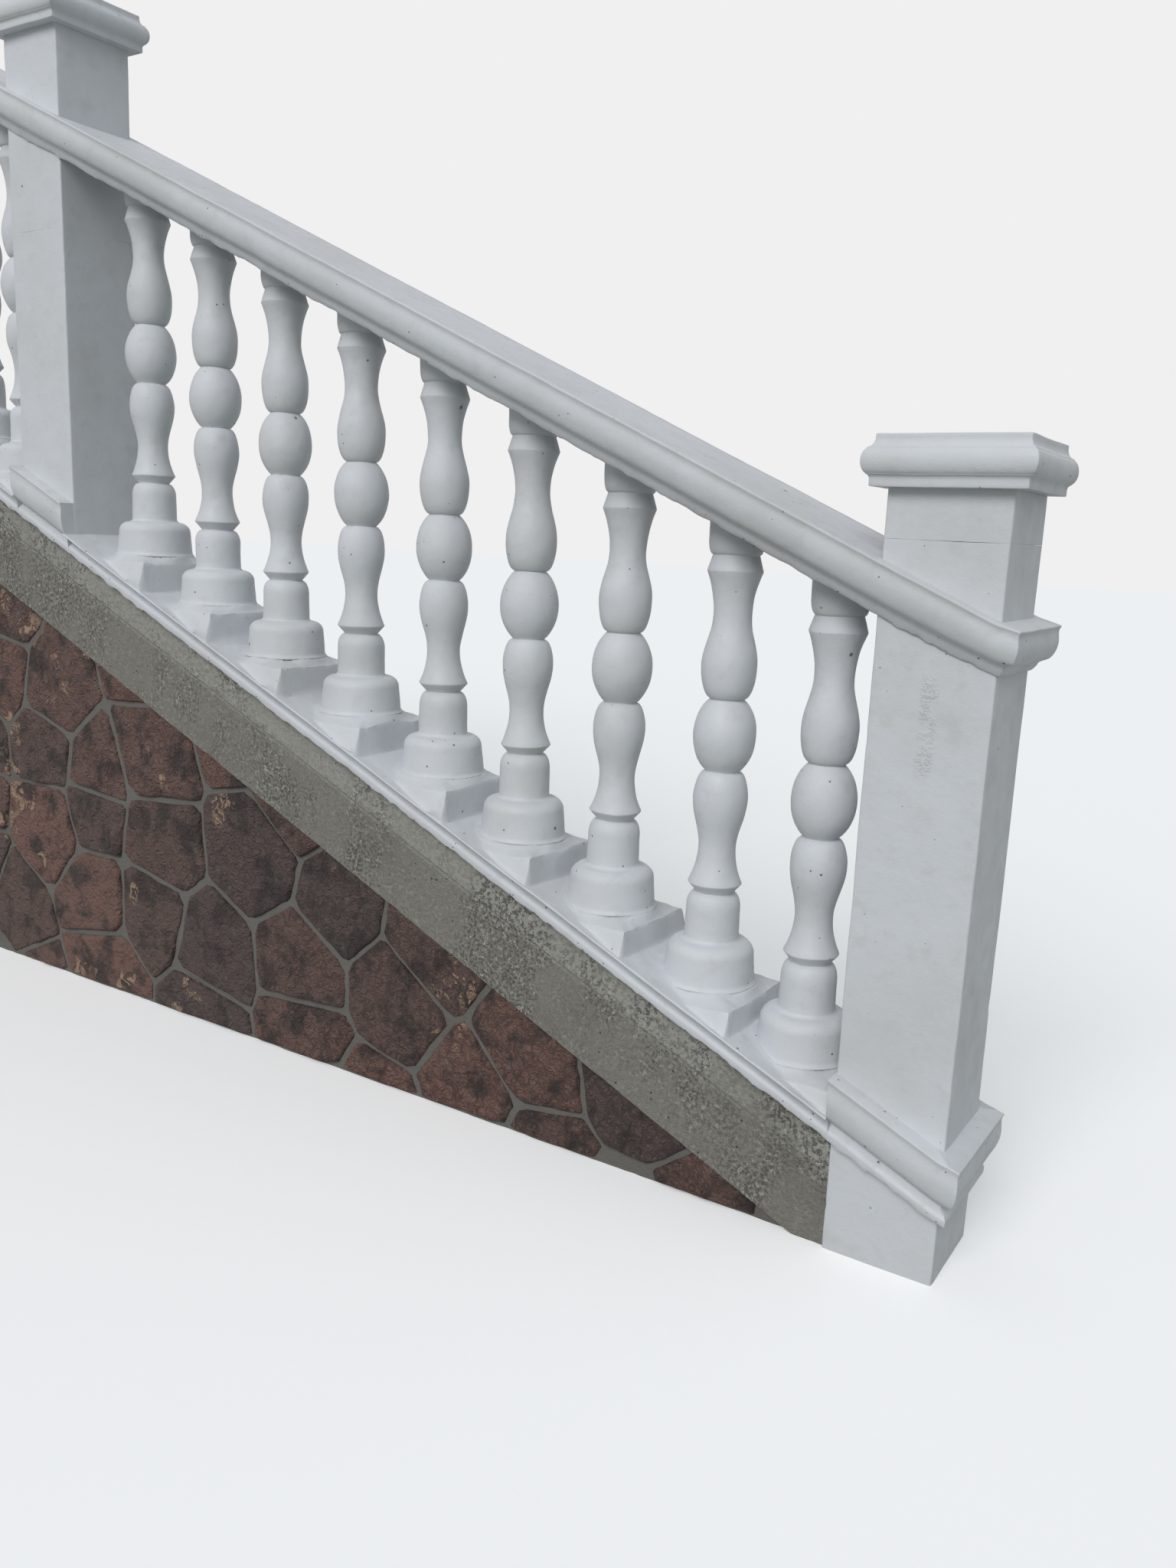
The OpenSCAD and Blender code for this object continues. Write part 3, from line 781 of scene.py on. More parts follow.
def square_ring(half, corner, turns):
    """Points round a square with worn corners."""
    side = [(half, t) for t in np.linspace(-(half - corner), half - corner, 22)]
    arc = [(half - corner + corner * math.cos(a), half - corner + corner * math.sin(a))
           for a in inner_steps(0, math.pi / 2, turns)]
    points = []
    for angle in np.arange(4) * math.pi / 2:
        toward = np.array([[math.cos(angle), math.sin(angle)], [-math.sin(angle), math.cos(angle)]])
        points.append(np.array(side + arc) @ toward)
    return np.concatenate(points)


def kept_between(rings, low, high):
    """Rings that stay within the heights of two corners."""
    rings[..., 2] = np.clip(rings[..., 2], low[2], high[2])
    return rings


def make_newel_shafts(s):
    """Pedestal, shafts and heads: square blocks with worn, chipped corners."""
    n = s.newels
    nodes = ["bottom_newel_pedestal"]
    nodes += [f"{name}_newel_{part}" for name in NEWELS for part in ("shaft", "head")]
    flat = square_ring(HALF_W, n.corner, 4)
    at_corner = fading(2 * HALF_W * 1.02 - np.abs(flat).sum(1), CHIP_REACH)
    for node in nodes:
        low, high = corners(node)
        x, tall = (low[0] + high[0]) / 2, high[2] - low[2]
        raking_foot = node in ("top_newel_shaft", "middle_newel_shaft")
        foot = rake_z(x + flat[:, 0], BASE_FOOT_DROP) if raking_foot else np.full(len(flat), low[2])
        between_joints = np.linspace(JOINT_CLEAR, tall - JOINT_CLEAR, max(4, int(tall / BLOCK_STEP)))
        heights = np.concatenate([BY_JOINT, between_joints, tall - BY_JOINT[::-1]])
        pinch = n.joint * fading(np.minimum(heights, tall - heights), JOINT_REACH)
        rings = np.empty((len(heights), len(flat), 3))
        rings[..., :2] = flat * (1 - pinch / HALF_W)[:, None, None] + (x, 0)
        rings[..., 2] = foot + (high[2] - foot) * (heights / tall)[:, None]
        depth = lumps(rings, *CORNER_CHIPS) * n.chips * 1.6
        inward = rings[..., :2] - (x, 0)
        inward /= np.linalg.norm(inward, axis=-1, keepdims=True)
        rings[..., :2] -= inward * (depth * at_corner)[..., None]
        painted(node + "_block", [kept_between(shifted(rings, *BLOCK_WAVES), low, high)], node)


def make_caps(s):
    for name in NEWELS:
        low, high = corners(name + "_newel_cap")
        tall = high[2] - low[2]
        outline = cap_outline(s.newels, tall)
        foot = np.linspace(-0.09, outline[0, 0], 6)[:-1]
        top = np.linspace(outline[-1, 0], -0.10, 9)[1:]
        rings = []
        for out, height in [*((out, 0.0) for out in foot), *outline, *((out, tall) for out in top)]:
            flat = square_ring(HALF_W + out, min(CAP_CORNER, HALF_W + out - 1 * MM), 3)
            rings.append(np.column_stack([flat + (NEWEL_X[name], 0), np.full(len(flat), low[2] + height)]))
        rings = np.array(rings)
        rims = shifted(rings, *CAP_WAVES)
        rims[..., 2] += lumps(rings, *CAP_CHIPS) * CAP_CHIP * fading(rings[..., 2] - low[2], CAP_CHIP_REACH)
        painted(f"{name}_newel_cap_moulded", [kept_between(rims, low, high)], name + "_newel_cap")


# String wall

# How far the bands bow, and their feet wander
BAND_BOW, FOOT_WANDER = 2.5 * MM, 1.5 * MM


def make_bands(s):
    w = s.wall
    lower_side = BAND_SIDE - w.step
    height = BAND_FOOT_DROP - BASE_FOOT_DROP
    knee = height - w.strip_height
    face = np.array([[lower_side, 0.0], [lower_side, knee], [BAND_SIDE, knee + 1.6 * w.step],
                     [BAND_SIDE, height]])
    left = rounded_arrises(filled(face, 11 * MM), 2 * MM) * (-1, 1)
    top = inner_steps(-BAND_SIDE, BAND_SIDE, 4)
    section = closed_section(left, np.column_stack([top, np.full(len(top), height)]))
    coarse = w.coarseness * np.where(section[:, 1] < knee, 1.0, 0.6)
    for bay in BAYS:
        low, high = corners(bay + "_concrete_band")
        rings = raking(stations(low[0], high[0], BAND_STEP), section, BAND_FOOT_DROP)
        rough = roughness(rings, *BAND_GRAIN)
        rings[..., 1] -= np.sign(rings[..., 1]) * coarse * np.abs(rough)
        rings[..., 1] += BAND_BOW * undulation(rings, 0.3, 107)
        rings[..., 2] = np.maximum(rings[..., 2] + FOOT_WANDER * rough * (section[:, 1] < 5 * MM), 0)
        make_piece(bay + "_concrete_band_cast", "grey_concrete", "grey_concrete", [rings],
                   bay + "_concrete_band")


def clipped(polygon, point, normal):
    """The part of a convex polygon on the inner side of a line."""
    kept = []
    for a, b in zip(polygon, np.roll(polygon, -1, 0)):
        da, db = (a - point) @ normal, (b - point) @ normal
        if da <= 0:
            kept.append(a)
        if da * db < 0:
            kept.append(a + (b - a) * da / (da - db))
    return np.array(kept)


# Height from one row of stones to the next as a share of a stone's height,
# neighbours that may bound a stone, and the smallest stone as a share of a usual one
ROW_STEP, NEIGHBOURS, LEAST_STONE = 0.92, 17, 0.12
OUTLINE_POINTS = 50


def stone_outlines(region, w, rng):
    """Outlines of rubble stones that fill a convex region, parted by joints."""
    low, high = region.min(0), region.max(0)
    seeds = []
    row = 0
    z = low[1] - w.stone_height
    while z < high[1] + w.stone_height:
        x = low[0] - w.stone_width * (1.0 + 0.5 * (row % 2))
        while x < high[0] + w.stone_width:
            seeds.append((x + rng.uniform(-0.36, 0.36) * w.stone_width,
                          z + rng.uniform(-0.34, 0.34) * w.stone_height))
            x += w.stone_width * rng.uniform(0.75, 1.2)
        z += w.stone_height * ROW_STEP
        row += 1
    seeds = np.array(seeds)
    outlines = []
    for seed in seeds:
        polygon = region
        for other in np.argsort(np.linalg.norm(seeds - seed, axis=1))[1:NEIGHBOURS + 1]:
            line = seeds[other] - seed
            line /= np.linalg.norm(line)
            middle = (seeds[other] + seed) / 2 - line * w.joint_width * rng.uniform(0.38, 0.62)
            polygon = clipped(polygon, middle, line)
            if len(polygon) < 3:
                break
        if len(polygon) < 3:
            continue
        (x0, z0), (x1, z1) = polygon.T, np.roll(polygon, -1, 0).T
        if abs((x0 * z1 - x1 * z0).sum()) / 2 > LEAST_STONE * w.stone_width * w.stone_height:
            outlines.append(polygon)
    return outlines


def broken(polygon, rng):
    """A stone's outline with its straight sides and a few broken corners."""
    after = np.roll(polygon, -1, 0)
    cut = rng.uniform(0.03, 0.14, len(polygon))[:, None]
    points = np.stack([polygon + (after - polygon) * cut, after - (after - polygon) * np.roll(cut, -1, 0)], 1)
    closed = np.vstack([points.reshape(-1, 2), points[0, :1]])
    run = np.concatenate([[0], np.cumsum(np.linalg.norm(np.diff(closed, axis=0), axis=1))])
    even = np.linspace(0, run[-1], OUTLINE_POINTS - len(run) + 1, endpoint=False) + 1e-4
    at = np.sort(np.concatenate([run[:-1], even]))
    ring = np.column_stack([np.interp(at, run, closed[:, k]) for k in range(2)])
    spot = np.column_stack([ring, np.full(len(ring), rng.uniform(0, 9))])
    centre = ring.mean(0)
    return centre + (ring - centre) * (1 + 0.018 * roughness(spot, *STONE_SIDES))[:, None]


def cleft_face(spots, centre, size, rng):
    """Height of a split face: a few flat facets that meet in sharp ridges."""
    height = np.full(spots.shape[:-1], 1.0)
    facets = np.arange(5) * 2 * math.pi / 5
    for angle in rng.uniform(0, 2 * math.pi) + facets + rng.uniform(-0.5, 0.5, 5):
        slope = rng.uniform(0.05, 0.85)
        toward = np.array([math.cos(angle), math.sin(angle)])
        facet = 1.15 - slope * ((spots - centre) @ toward) / size - 0.10 * rng.uniform(0, 1)
        height = np.minimum(height, facet)
    return np.clip(height, -0.2, 1.0)


# Sizes of a stone's rings as shares of its outline, from the joint inward
STONE_RINGS = np.array([1.0, 1.0, 0.99, 0.965, 0.92, 0.85, 0.77, 0.68, 0.58, 0.47, 0.36, 0.24, 0.12])
# How deep the stones reach into the wall, how far the wall's core lies behind
# its sides, how far the plaster stands out from the core, and how far the core
# stops short of the wall's upper end
STONE_DEPTH, CORE_BACK, PLASTER_OUT, END_BACK = 26 * MM, 9 * MM, 6 * MM, 10 * MM
# Height of the stones' foot, and how far their field stops short of the wall's ends
FIELD_FOOT, FIELD_INSET = 8 * MM, 12 * MM
# Rim of a stone in which its face rises, as a share of its outline
RIM = 0.045


def split_stones(outlines, w, place, rng):
    """Rings and tint of each split, angular stone on a wall face. place turns
    (along, out, up) into points of the frame."""
    stones = []
    for outline in outlines:
        outline = broken(outline, rng)
        centre = outline.mean(0)
        size = np.linalg.norm(outline - centre, axis=1).mean()
        proud = w.stone_proud * rng.uniform(0.7, 1.15)
        flat = centre + (outline - centre)[None] * STONE_RINGS[:, None, None]
        spots = np.concatenate([flat, np.full((*flat.shape[:2], 1), proud * 90)], -1)
        rim = np.clip((1 - STONE_RINGS) / RIM, 0, 1)[:, None] ** 0.6
        face = proud * cleft_face(flat, centre, size, rng)
        face += 4.5 * MM * roughness(spots, *STONE_FACES) - 3 * MM * lumps(spots, *STONE_HOLLOWS)
        out = 2 * MM + rim * face
        out[0] = -STONE_DEPTH
        rings = np.array([place(f[:, 0], o, np.maximum(f[:, 1], 2 * MM)) for f, o in zip(flat, out)])
        stones.append((rings, rng.uniform(0, 1)))
    return stones


def stone_field(start, end, start_top, end_top):
    """Corners of the field that stones fill on a wall face."""
    return np.array([[start, FIELD_FOOT], [end, FIELD_FOOT], [end, max(FIELD_FOOT + 1 * MM, end_top)],
                     [start, start_top]])


def core_rings(start, end, side):
    """Rings of the wall's core: rough pointing in front, plaster behind."""
    up, top = np.linspace(0, 1, 46), inner_steps(-side, side, 6)
    section = closed_section(np.column_stack([np.full(len(up), -side), up]),
                             np.column_stack([top, np.ones(len(top))]))
    xx, yy = np.meshgrid(stations(start, end, CORE_STEP), section[:, 0], indexing="ij")
    rings = np.stack([xx, yy, section[:, 1] * np.maximum(2 * MM, rake_z(xx, BAND_FOOT_DROP))], -1)
    rings[..., 1] -= (yy < -0.99 * side) * 3 * MM * roughness(rings, *POINTING)
    rings[..., 1] += (yy > 0.99 * side) * (3 * MM * roughness(rings, *PLASTER) + PLASTER_OUT)
    return rings


def make_walls(s):
    w = s.wall
    rng = np.random.default_rng(w.seed)
    side = WALL_SIDE - CORE_BACK
    start, split = (c[0] for c in corners("upper_rubble_wall"))
    first, last = start + FIELD_INSET, corners("lower_rubble_wall")[1][0] - FIELD_INSET
    tops = [rake_z(x, BAND_FOOT_DROP) - 1 * MM for x in (first, last, start)]
    face = stone_outlines(stone_field(first, last, tops[0], tops[1]), w, rng)
    end = stone_outlines(stone_field(END_BACK - side, side - END_BACK, tops[2], tops[2]), w, rng)
    for bay in BAYS:
        x0, x1 = (c[0] for c in corners(bay + "_rubble_wall"))
        own = [o for o in face if (o[:, 0].mean() < split) == (bay == "upper")]
        stones = split_stones(own, w, lambda along, out, up: np.column_stack([along, -side - out, up]), rng)
        if bay == "upper":
            stones += split_stones(end, w, lambda along, out, up: np.column_stack(
                [x0 + 16 * MM - np.minimum(out, 15 * MM), -along, up]), rng)
            x0 += END_BACK
        make_piece(bay + "_rubble_stones", "rubble_stone", "rubble_stone", [rings for rings, tint in stones],
                   bay + "_rubble_wall", tints=[tint for rings, tint in stones])
        make_piece(bay + "_pointing", "pointing_mortar", "grey_concrete", [core_rings(x0, x1, side)],
                   bay + "_rubble_wall")


# Finishes

class Wiring:
    """Places and joins the nodes of one tree."""

    def __init__(self, tree):
        self.tree = tree
        tree.nodes.clear()
        self.column = 0

    def add(self, kind, inputs=None, **settings):
        node = self.tree.nodes.new(kind)
        node.location = (self.column * 190, -(self.column % 4) * 160)
        self.column += 1
        for name, value in settings.items():
            setattr(node, name, value)
        for name, value in (inputs or {}).items():
            self.feed(value, node.inputs[name])
        return node

    def feed(self, value, socket):
        if isinstance(value, bpy.types.NodeSocket):
            self.tree.links.new(value, socket)
        elif socket.type == "RGBA":
            socket.default_value = (*value, 1.0)[:4]
        else:
            socket.default_value = value

    def math(self, operation, result, *others):
        """One operation on two values, or in turn on more of them."""
        for other in others:
            result = self.add("ShaderNodeMath", {0: result, 1: other}, operation=operation).outputs[0]
        return result

    def line(self, value, factor, start):
        """A value times a factor, on top of a start."""
        node = self.add("ShaderNodeMath", {0: value, 1: factor, 2: start}, operation="MULTIPLY_ADD")
        return node.outputs[0]

    def stepped(self, value, low, high, out_low=0.0, out_high=1.0):
        """Smooth step of a value between two limits."""
        return self.add("ShaderNodeMapRange", {"Value": value, "From Min": low, "From Max": high,
                                               "To Min": out_low, "To Max": out_high},
                        interpolation_type="SMOOTHSTEP").outputs["Result"]

    def band(self, value, start, full, last, end):
        """1 between full and last, fading to 0 at start and end."""
        return self.math("MULTIPLY", self.stepped(value, start, full), self.stepped(value, end, last))

    def mix(self, factor, a, b):
        node = self.add("ShaderNodeMix", data_type="RGBA")
        self.feed(factor, node.inputs["Factor"])
        for value, socket in zip((a, b), [i for i in node.inputs if i.type == "RGBA"]):
            self.feed(value, socket)
        return [o for o in node.outputs if o.type == "RGBA"][0]

    def place(self):
        return self.add("ShaderNodeTexCoord").outputs["Object"]

    def below_rake(self):
        """Drop below the raking line through the newel tops, then X, Y and Z."""
        x, y, z = self.add("ShaderNodeSeparateXYZ", {0: self.place()}).outputs
        return self.math("SUBTRACT", self.line(x, -SLOPE, rake_z(0.0)), z), x, y, z

    def noise(self, scale, detail=3.0, rough=0.55, stretch=None):
        vector = self.place()
        if stretch:
            stretched = self.add("ShaderNodeVectorMath", {0: vector, 1: stretch}, operation="MULTIPLY")
            vector = stretched.outputs[0]
        return self.add("ShaderNodeTexNoise", {"Vector": vector, "Scale": scale, "Detail": detail,
                                               "Roughness": rough}).outputs["Fac"]

    def use(self, effect, **values):
        return self.add("ShaderNodeGroup", values, node_tree=shared(effect)).outputs[0]

    def seen(self):
        """1 where the camera sees a surface, straight or in another one."""
        path = self.add("ShaderNodeLightPath").outputs
        return self.math("MAXIMUM", path["Is Camera Ray"], path["Is Glossy Ray"], path["Is Transmission Ray"])


def pinholes(w, given):
    """Small dark holes left by air in the cast surface."""
    scaled = w.add("ShaderNodeVectorMath", {0: w.place(), "Scale": w.math("DIVIDE", 1.0, given["Spacing"])},
                   operation="SCALE").outputs[0]
    cells = w.add("ShaderNodeTexVoronoi", {"Vector": scaled, "Scale": 1.0, "Randomness": 1.0},
                  feature="F1").outputs
    away = w.math("MULTIPLY", cells["Distance"], given["Spacing"])
    draw = w.add("ShaderNodeSeparateColor", {"Color": cells["Color"]}).outputs
    size = w.math("MULTIPLY", given["Size"], w.line(draw["Green"], 0.9, 0.25))
    hole = w.stepped(w.math("DIVIDE", away, size), 1.0, 0.55)
    return w.math("MULTIPLY", hole, w.math("LESS_THAN", draw["Red"], given["Share"]))


def mottle(w, given):
    """Slow change from one tone to another over a surface."""
    mask = w.stepped(w.noise(given["Frequency"], 5.0, 0.6), given["Low"], given["High"])
    return w.mix(w.math("MULTIPLY", mask, given["Amount"]), given["Colour"], given["Other"])


def grain(w, given):
    """Fine relief of a sand-and-cement surface."""
    fine = w.noise(w.math("MULTIPLY", given["Frequency"], 4.0), 4.0, 0.7)
    return w.math("ADD", w.math("MULTIPLY", fine, 0.45), w.noise(given["Frequency"], 3.0, 0.6))


# Each effect's maker, output and inputs with their defaults
EFFECTS = {
    "Pinholes": (pinholes, "Mask", {"Spacing": 0.03, "Size": 0.002, "Share": 0.3}),
    "Mottle": (mottle, "Colour", {"Colour": (1, 1, 1), "Other": (0.5, 0.5, 0.5), "Frequency": 3.0,
                                  "Low": 0.4, "High": 0.7, "Amount": 1.0}),
    "Grain": (grain, "Height", {"Frequency": 60.0}),
}


def shared(name):
    """The shader node group of an effect, built once for all finishes."""
    if name in bpy.data.node_groups:
        return bpy.data.node_groups[name]
    build, output, inputs = EFFECTS[name]
    group = bpy.data.node_groups.new(name, "ShaderNodeTree")
    wires = Wiring(group)
    for socket, default in inputs.items():
        kind = "NodeSocketColor" if isinstance(default, tuple) else "NodeSocketFloat"
        item = group.interface.new_socket(name=socket, in_out="INPUT", socket_type=kind)
        item.default_value = (*default, 1.0) if isinstance(default, tuple) else default
    kind = "NodeSocketColor" if output == "Colour" else "NodeSocketFloat"
    group.interface.new_socket(name=output, in_out="OUTPUT", socket_type=kind)
    given = wires.add("NodeGroupInput").outputs
    wires.add("NodeGroupOutput", {output: build(wires, given)})
    return group


def dimmed(colour, factor):
    return tuple(c * factor for c in colour)


# Each finish returns its colour, roughness, strength of relief, and the layers
# of the relief with their depths in metres

def white_painted_stone(w, f):
    """White masonry paint over cast stone: weathered and pinholed, nicked
    where it laps over the concrete, crackled on one newel."""
    tone = w.use("Mottle", Colour=f.white, Other=f.white_aged, Frequency=2.3, Low=0.42, High=0.72,
                 Amount=0.60)
    tone = w.use("Mottle", Colour=tone, Other=f.white_aged, Frequency=17.0, Low=0.52, High=0.74,
                 Amount=0.50)
    drop, x, y, z = w.below_rake()
    soffit = w.band(drop, SOFFIT_DROP - 0.014, SOFFIT_DROP - 0.004, SOFFIT_DROP + 0.002, SOFFIT_DROP + 0.006)
    base_foot = w.band(drop, BASE_FOOT_DROP - 0.02, BASE_FOOT_DROP - 0.006,
                       BASE_FOOT_DROP + 0.02, BASE_FOOT_DROP + 0.03)
    specks = w.use("Pinholes", Spacing=0.013, Size=0.0030, Share=0.42)
    # Nicks crowd along the feet of the handrails and base rails; like the pinholes they are painted
    # near-black, dirt and painted shade in the pits
    nicks = w.math("MULTIPLY", w.math("MAXIMUM", soffit, base_foot),
                   w.stepped(w.noise(9.0, 2.0), 0.45, 0.6), specks)
    dark = w.math("MAXIMUM", w.use("Pinholes", Spacing=0.026, Size=0.0031, Share=f.pinholes),
                  w.use("Pinholes", Spacing=0.085, Size=0.0060, Share=f.pinholes * 1.3), nicks)
    left, right, foot, head = CRACKLED
    across = w.band(x, left - 0.008, left + 0.006, right - 0.006, right + 0.008)
    upright = w.band(z, foot - 0.02, foot + 0.03, head - 0.03, head + 0.02)
    wrinkle = w.math("MULTIPLY", across, upright, w.stepped(y, 0.0, -0.05),
                     w.stepped(w.noise(22.0, 3.0, 0.6), 0.36, 0.56),
                     w.stepped(w.noise(120.0, 3.0, 0.7), 0.40, 0.58))
    # Pinholes and nicks are darkened towards near-black: dirt and painted shade in the holes
    colour = w.mix(w.math("MULTIPLY", dark, 0.85), tone, f.pit_shade_and_dirt)
    rough = w.stepped(w.noise(24.0, 3.0), 0.3, 0.7, 0.52, 0.66)
    return colour, rough, 0.8, ((w.use("Grain", Frequency=70.0), 0.0009), (w.noise(14.0, 2.0), 0.0024),
                                (dark, -0.0018), (wrinkle, 0.0014))


def grey_concrete(w, f):
    """Bare concrete: a sandy upper strip, a smoother lower part with patches
    of coarse aggregate, brown stains, and spots of paint under the rail."""
    drop = w.below_rake()[0]
    strip = w.stepped(drop, BASE_FOOT_DROP + 0.112, BASE_FOOT_DROP + 0.100)
    tone = w.use("Mottle", Colour=w.mix(strip, f.concrete, f.strip), Other=f.concrete_dark, Frequency=3.2,
                 Low=0.50, High=0.85, Amount=0.55)
    coarse = w.stepped(w.noise(4.5, 3.0, 0.6, (1.0, 1.0, 0.6)), 0.44, 0.60)
    grit = w.math("MULTIPLY", w.stepped(w.noise(105.0, 5.0, 0.75), 0.50, 0.58), w.line(coarse, 0.65, 0.25))
    pale = w.math("MULTIPLY", w.stepped(w.noise(90.0, 4.0, 0.7, (1.0, 1.3, 0.9)), 0.55, 0.63),
                  w.line(coarse, 0.35, 0.15))
    holes = w.use("Pinholes", Spacing=0.026, Size=0.0040, Share=0.38)
    under_rail = w.stepped(drop, BASE_FOOT_DROP + 0.09, BASE_FOOT_DROP)
    spots = w.math("MULTIPLY", w.stepped(w.noise(34.0, 5.0, 0.7), 0.66, 0.69), under_rail)
    colour = w.mix(pale, w.mix(grit, tone, f.concrete_dark), dimmed(f.strip, 1.9))
    # The holes are darkened to near-black: dirt and painted shade in them
    colour = w.mix(w.math("MULTIPLY", holes, 0.8), colour, dimmed(f.concrete_dark, 0.35))
    colour = w.mix(w.math("MULTIPLY", spots, 0.85), colour, f.white_aged)
    return colour, 0.92, 1.0, ((w.use("Grain", Frequency=75.0), 0.0038), (holes, -0.0035), (grit, -0.0012))


def rubble_stone(w, f):
    """Split purple-brown stone, each stone with its own tone, with darker
    patches at random and small pale faces where it has freshly broken."""
    tint = w.add("ShaderNodeAttribute", attribute_name=TINT).outputs["Fac"]
    tone = w.use("Mottle", Colour=w.mix(tint, f.stone_red, f.stone_brown), Other=dimmed(f.stone_brown, 0.40),
                 Frequency=9.0, Low=0.46, High=0.62, Amount=0.90)
    tone = w.use("Mottle", Colour=tone, Other=f.mortar, Frequency=26.0, Low=0.55, High=0.75, Amount=0.45)
    place = w.place()
    bend = w.add("ShaderNodeTexNoise", {"Vector": place, "Scale": 16.0}).outputs["Color"]
    bent = w.add("ShaderNodeVectorMath", {0: place, 1: bend, 2: (0.05, 0.05, 0.05)}, operation="MULTIPLY_ADD")
    chips = w.add("ShaderNodeTexVoronoi", {"Vector": bent.outputs[0], "Scale": 27.0}, feature="F1").outputs
    pick = w.add("ShaderNodeSeparateColor", {"Color": chips["Color"]}).outputs
    fresh = w.math("MULTIPLY", w.math("GREATER_THAN", pick["Red"], 0.62),
                   w.stepped(w.noise(5.0, 2.0, 0.6), 0.62, 0.66))
    colour = w.mix(w.math("MULTIPLY", fresh, 0.6), tone, f.stone_pale)
    return colour, 0.86, 1.0, ((chips["Distance"], 0.010), (pick["Green"], 0.006),
                               (w.use("Grain", Frequency=34.0), 0.014))


def pointing_mortar(w, f):
    """Cement pointing, and rougher brown plaster on the stair side."""
    across = w.below_rake()[2]
    tone = w.use("Mottle", Colour=w.mix(w.stepped(across, -0.02, 0.02), f.mortar, f.plaster),
                 Other=f.concrete_dark, Frequency=5.0, Low=0.48, High=0.8, Amount=0.6)
    holes = w.use("Pinholes", Spacing=0.018, Size=0.0024, Share=0.5)
    # The holes are darkened towards near-black: dirt and painted shade in them
    colour = w.mix(w.math("MULTIPLY", holes, 0.7), tone, f.pit_shade_and_dirt)
    return colour, 0.93, 0.9, ((w.use("Grain", Frequency=80.0), 0.004), (holes, -0.002))


FINISHES = {
    "white_painted_stone": ("White masonry paint", white_painted_stone),
    "grey_concrete": ("Coarse concrete", grey_concrete),
    "rubble_stone": ("Split rubble stone", rubble_stone),
    "pointing_mortar": ("Cement pointing", pointing_mortar),
}
MADE = {}


def bare_material(name):
    """A new material with its wiring and the sockets of its shader."""
    material = bpy.data.materials.new(name)
    material.use_nodes = True
    wires = Wiring(material.node_tree)
    shader = wires.add("ShaderNodeBsdfPrincipled")
    wires.add("ShaderNodeOutputMaterial", {"Surface": shader.outputs["BSDF"]})
    return material, wires, shader.inputs


def finish(name):
    """A finish's material, made when it is first used."""
    if name not in MADE:
        label, build = FINISHES[name]
        MADE[name], w, shader = bare_material(label)
        colour, rough, strength, layers = build(w, bpy.context.scene.balustrade.finish)
        height = w.math("ADD", *(w.math("MULTIPLY", layer, depth) for layer, depth in layers))
        bump = w.add("ShaderNodeBump", {"Height": height, "Strength": strength, "Distance": 1.0})
        w.feed(colour, shader["Base Color"])
        w.feed(rough, shader["Roughness"])
        w.feed(bump.outputs["Normal"], shader["Normal"])
    return MADE[name]


# Stage

SENSOR_WIDTH = 36.0
FAR_CLIP = 200
# Half the floor's width, in metres
FLOOR_REACH = 60
# Glow of the floor and tone of the world as the camera sees them, where 1 is
# white, and colour of the sky's light
FLOOR_GLOW = 0.20
BACKDROP = (0.87, 0.87, 0.87)
SKY_COLOUR = (0.89, 0.95, 1.0)
# Way that the key light shines, and its angle across
KEY_TOWARD = Vector((-0.12, 0.80, -0.59))
KEY_SPREAD = math.radians(34)


def shown(name, data):
    """A new object in the scene."""
    obj = bpy.data.objects.new(name, data)
    bpy.context.scene.collection.objects.link(obj)
    return obj


def make_camera(st):
    ahead = Vector((-math.sin(st.heading) * math.cos(st.dip), math.cos(st.heading) * math.cos(st.dip),
                    -math.sin(st.dip)))
    level = Vector((math.cos(st.heading), math.sin(st.heading), 0))
    upright = level.cross(ahead)
    right = math.cos(st.roll) * level + math.sin(st.roll) * upright
    up = -math.sin(st.roll) * level + math.cos(st.roll) * upright
    data = bpy.data.cameras.new("photo_view")
    data.sensor_fit = "HORIZONTAL"
    data.sensor_width = SENSOR_WIDTH
    data.lens = st.lens
    data.clip_end = FAR_CLIP
    camera = shown("photo_view", data)
    camera.matrix_world = Matrix.Translation(st.eye) @ Matrix((right, up, -ahead)).transposed().to_4x4()
    bpy.context.scene.camera = camera


def make_floor(st):
    mesh = bpy.data.meshes.new("floor")
    edge = FLOOR_REACH
    mesh.from_pydata([(-edge, -edge, 0), (edge, -edge, 0), (edge, edge, 0), (-edge, edge, 0)], [],
                     [(0, 1, 2, 3)])
    floor = shown("floor", mesh)
    material, w, shader = bare_material("Plain floor")
    seen = w.seen()
    w.feed(w.mix(seen, st.floor_bounce, st.floor), shader["Base Color"])
    w.feed(w.math("MULTIPLY", seen, FLOOR_GLOW), shader["Emission Strength"])
    w.feed((1, 1, 1), shader["Emission Color"])
    w.feed(1.0, shader["Roughness"])
    w.feed(0.0, shader["Specular IOR Level"])
    mesh.materials.append(material)


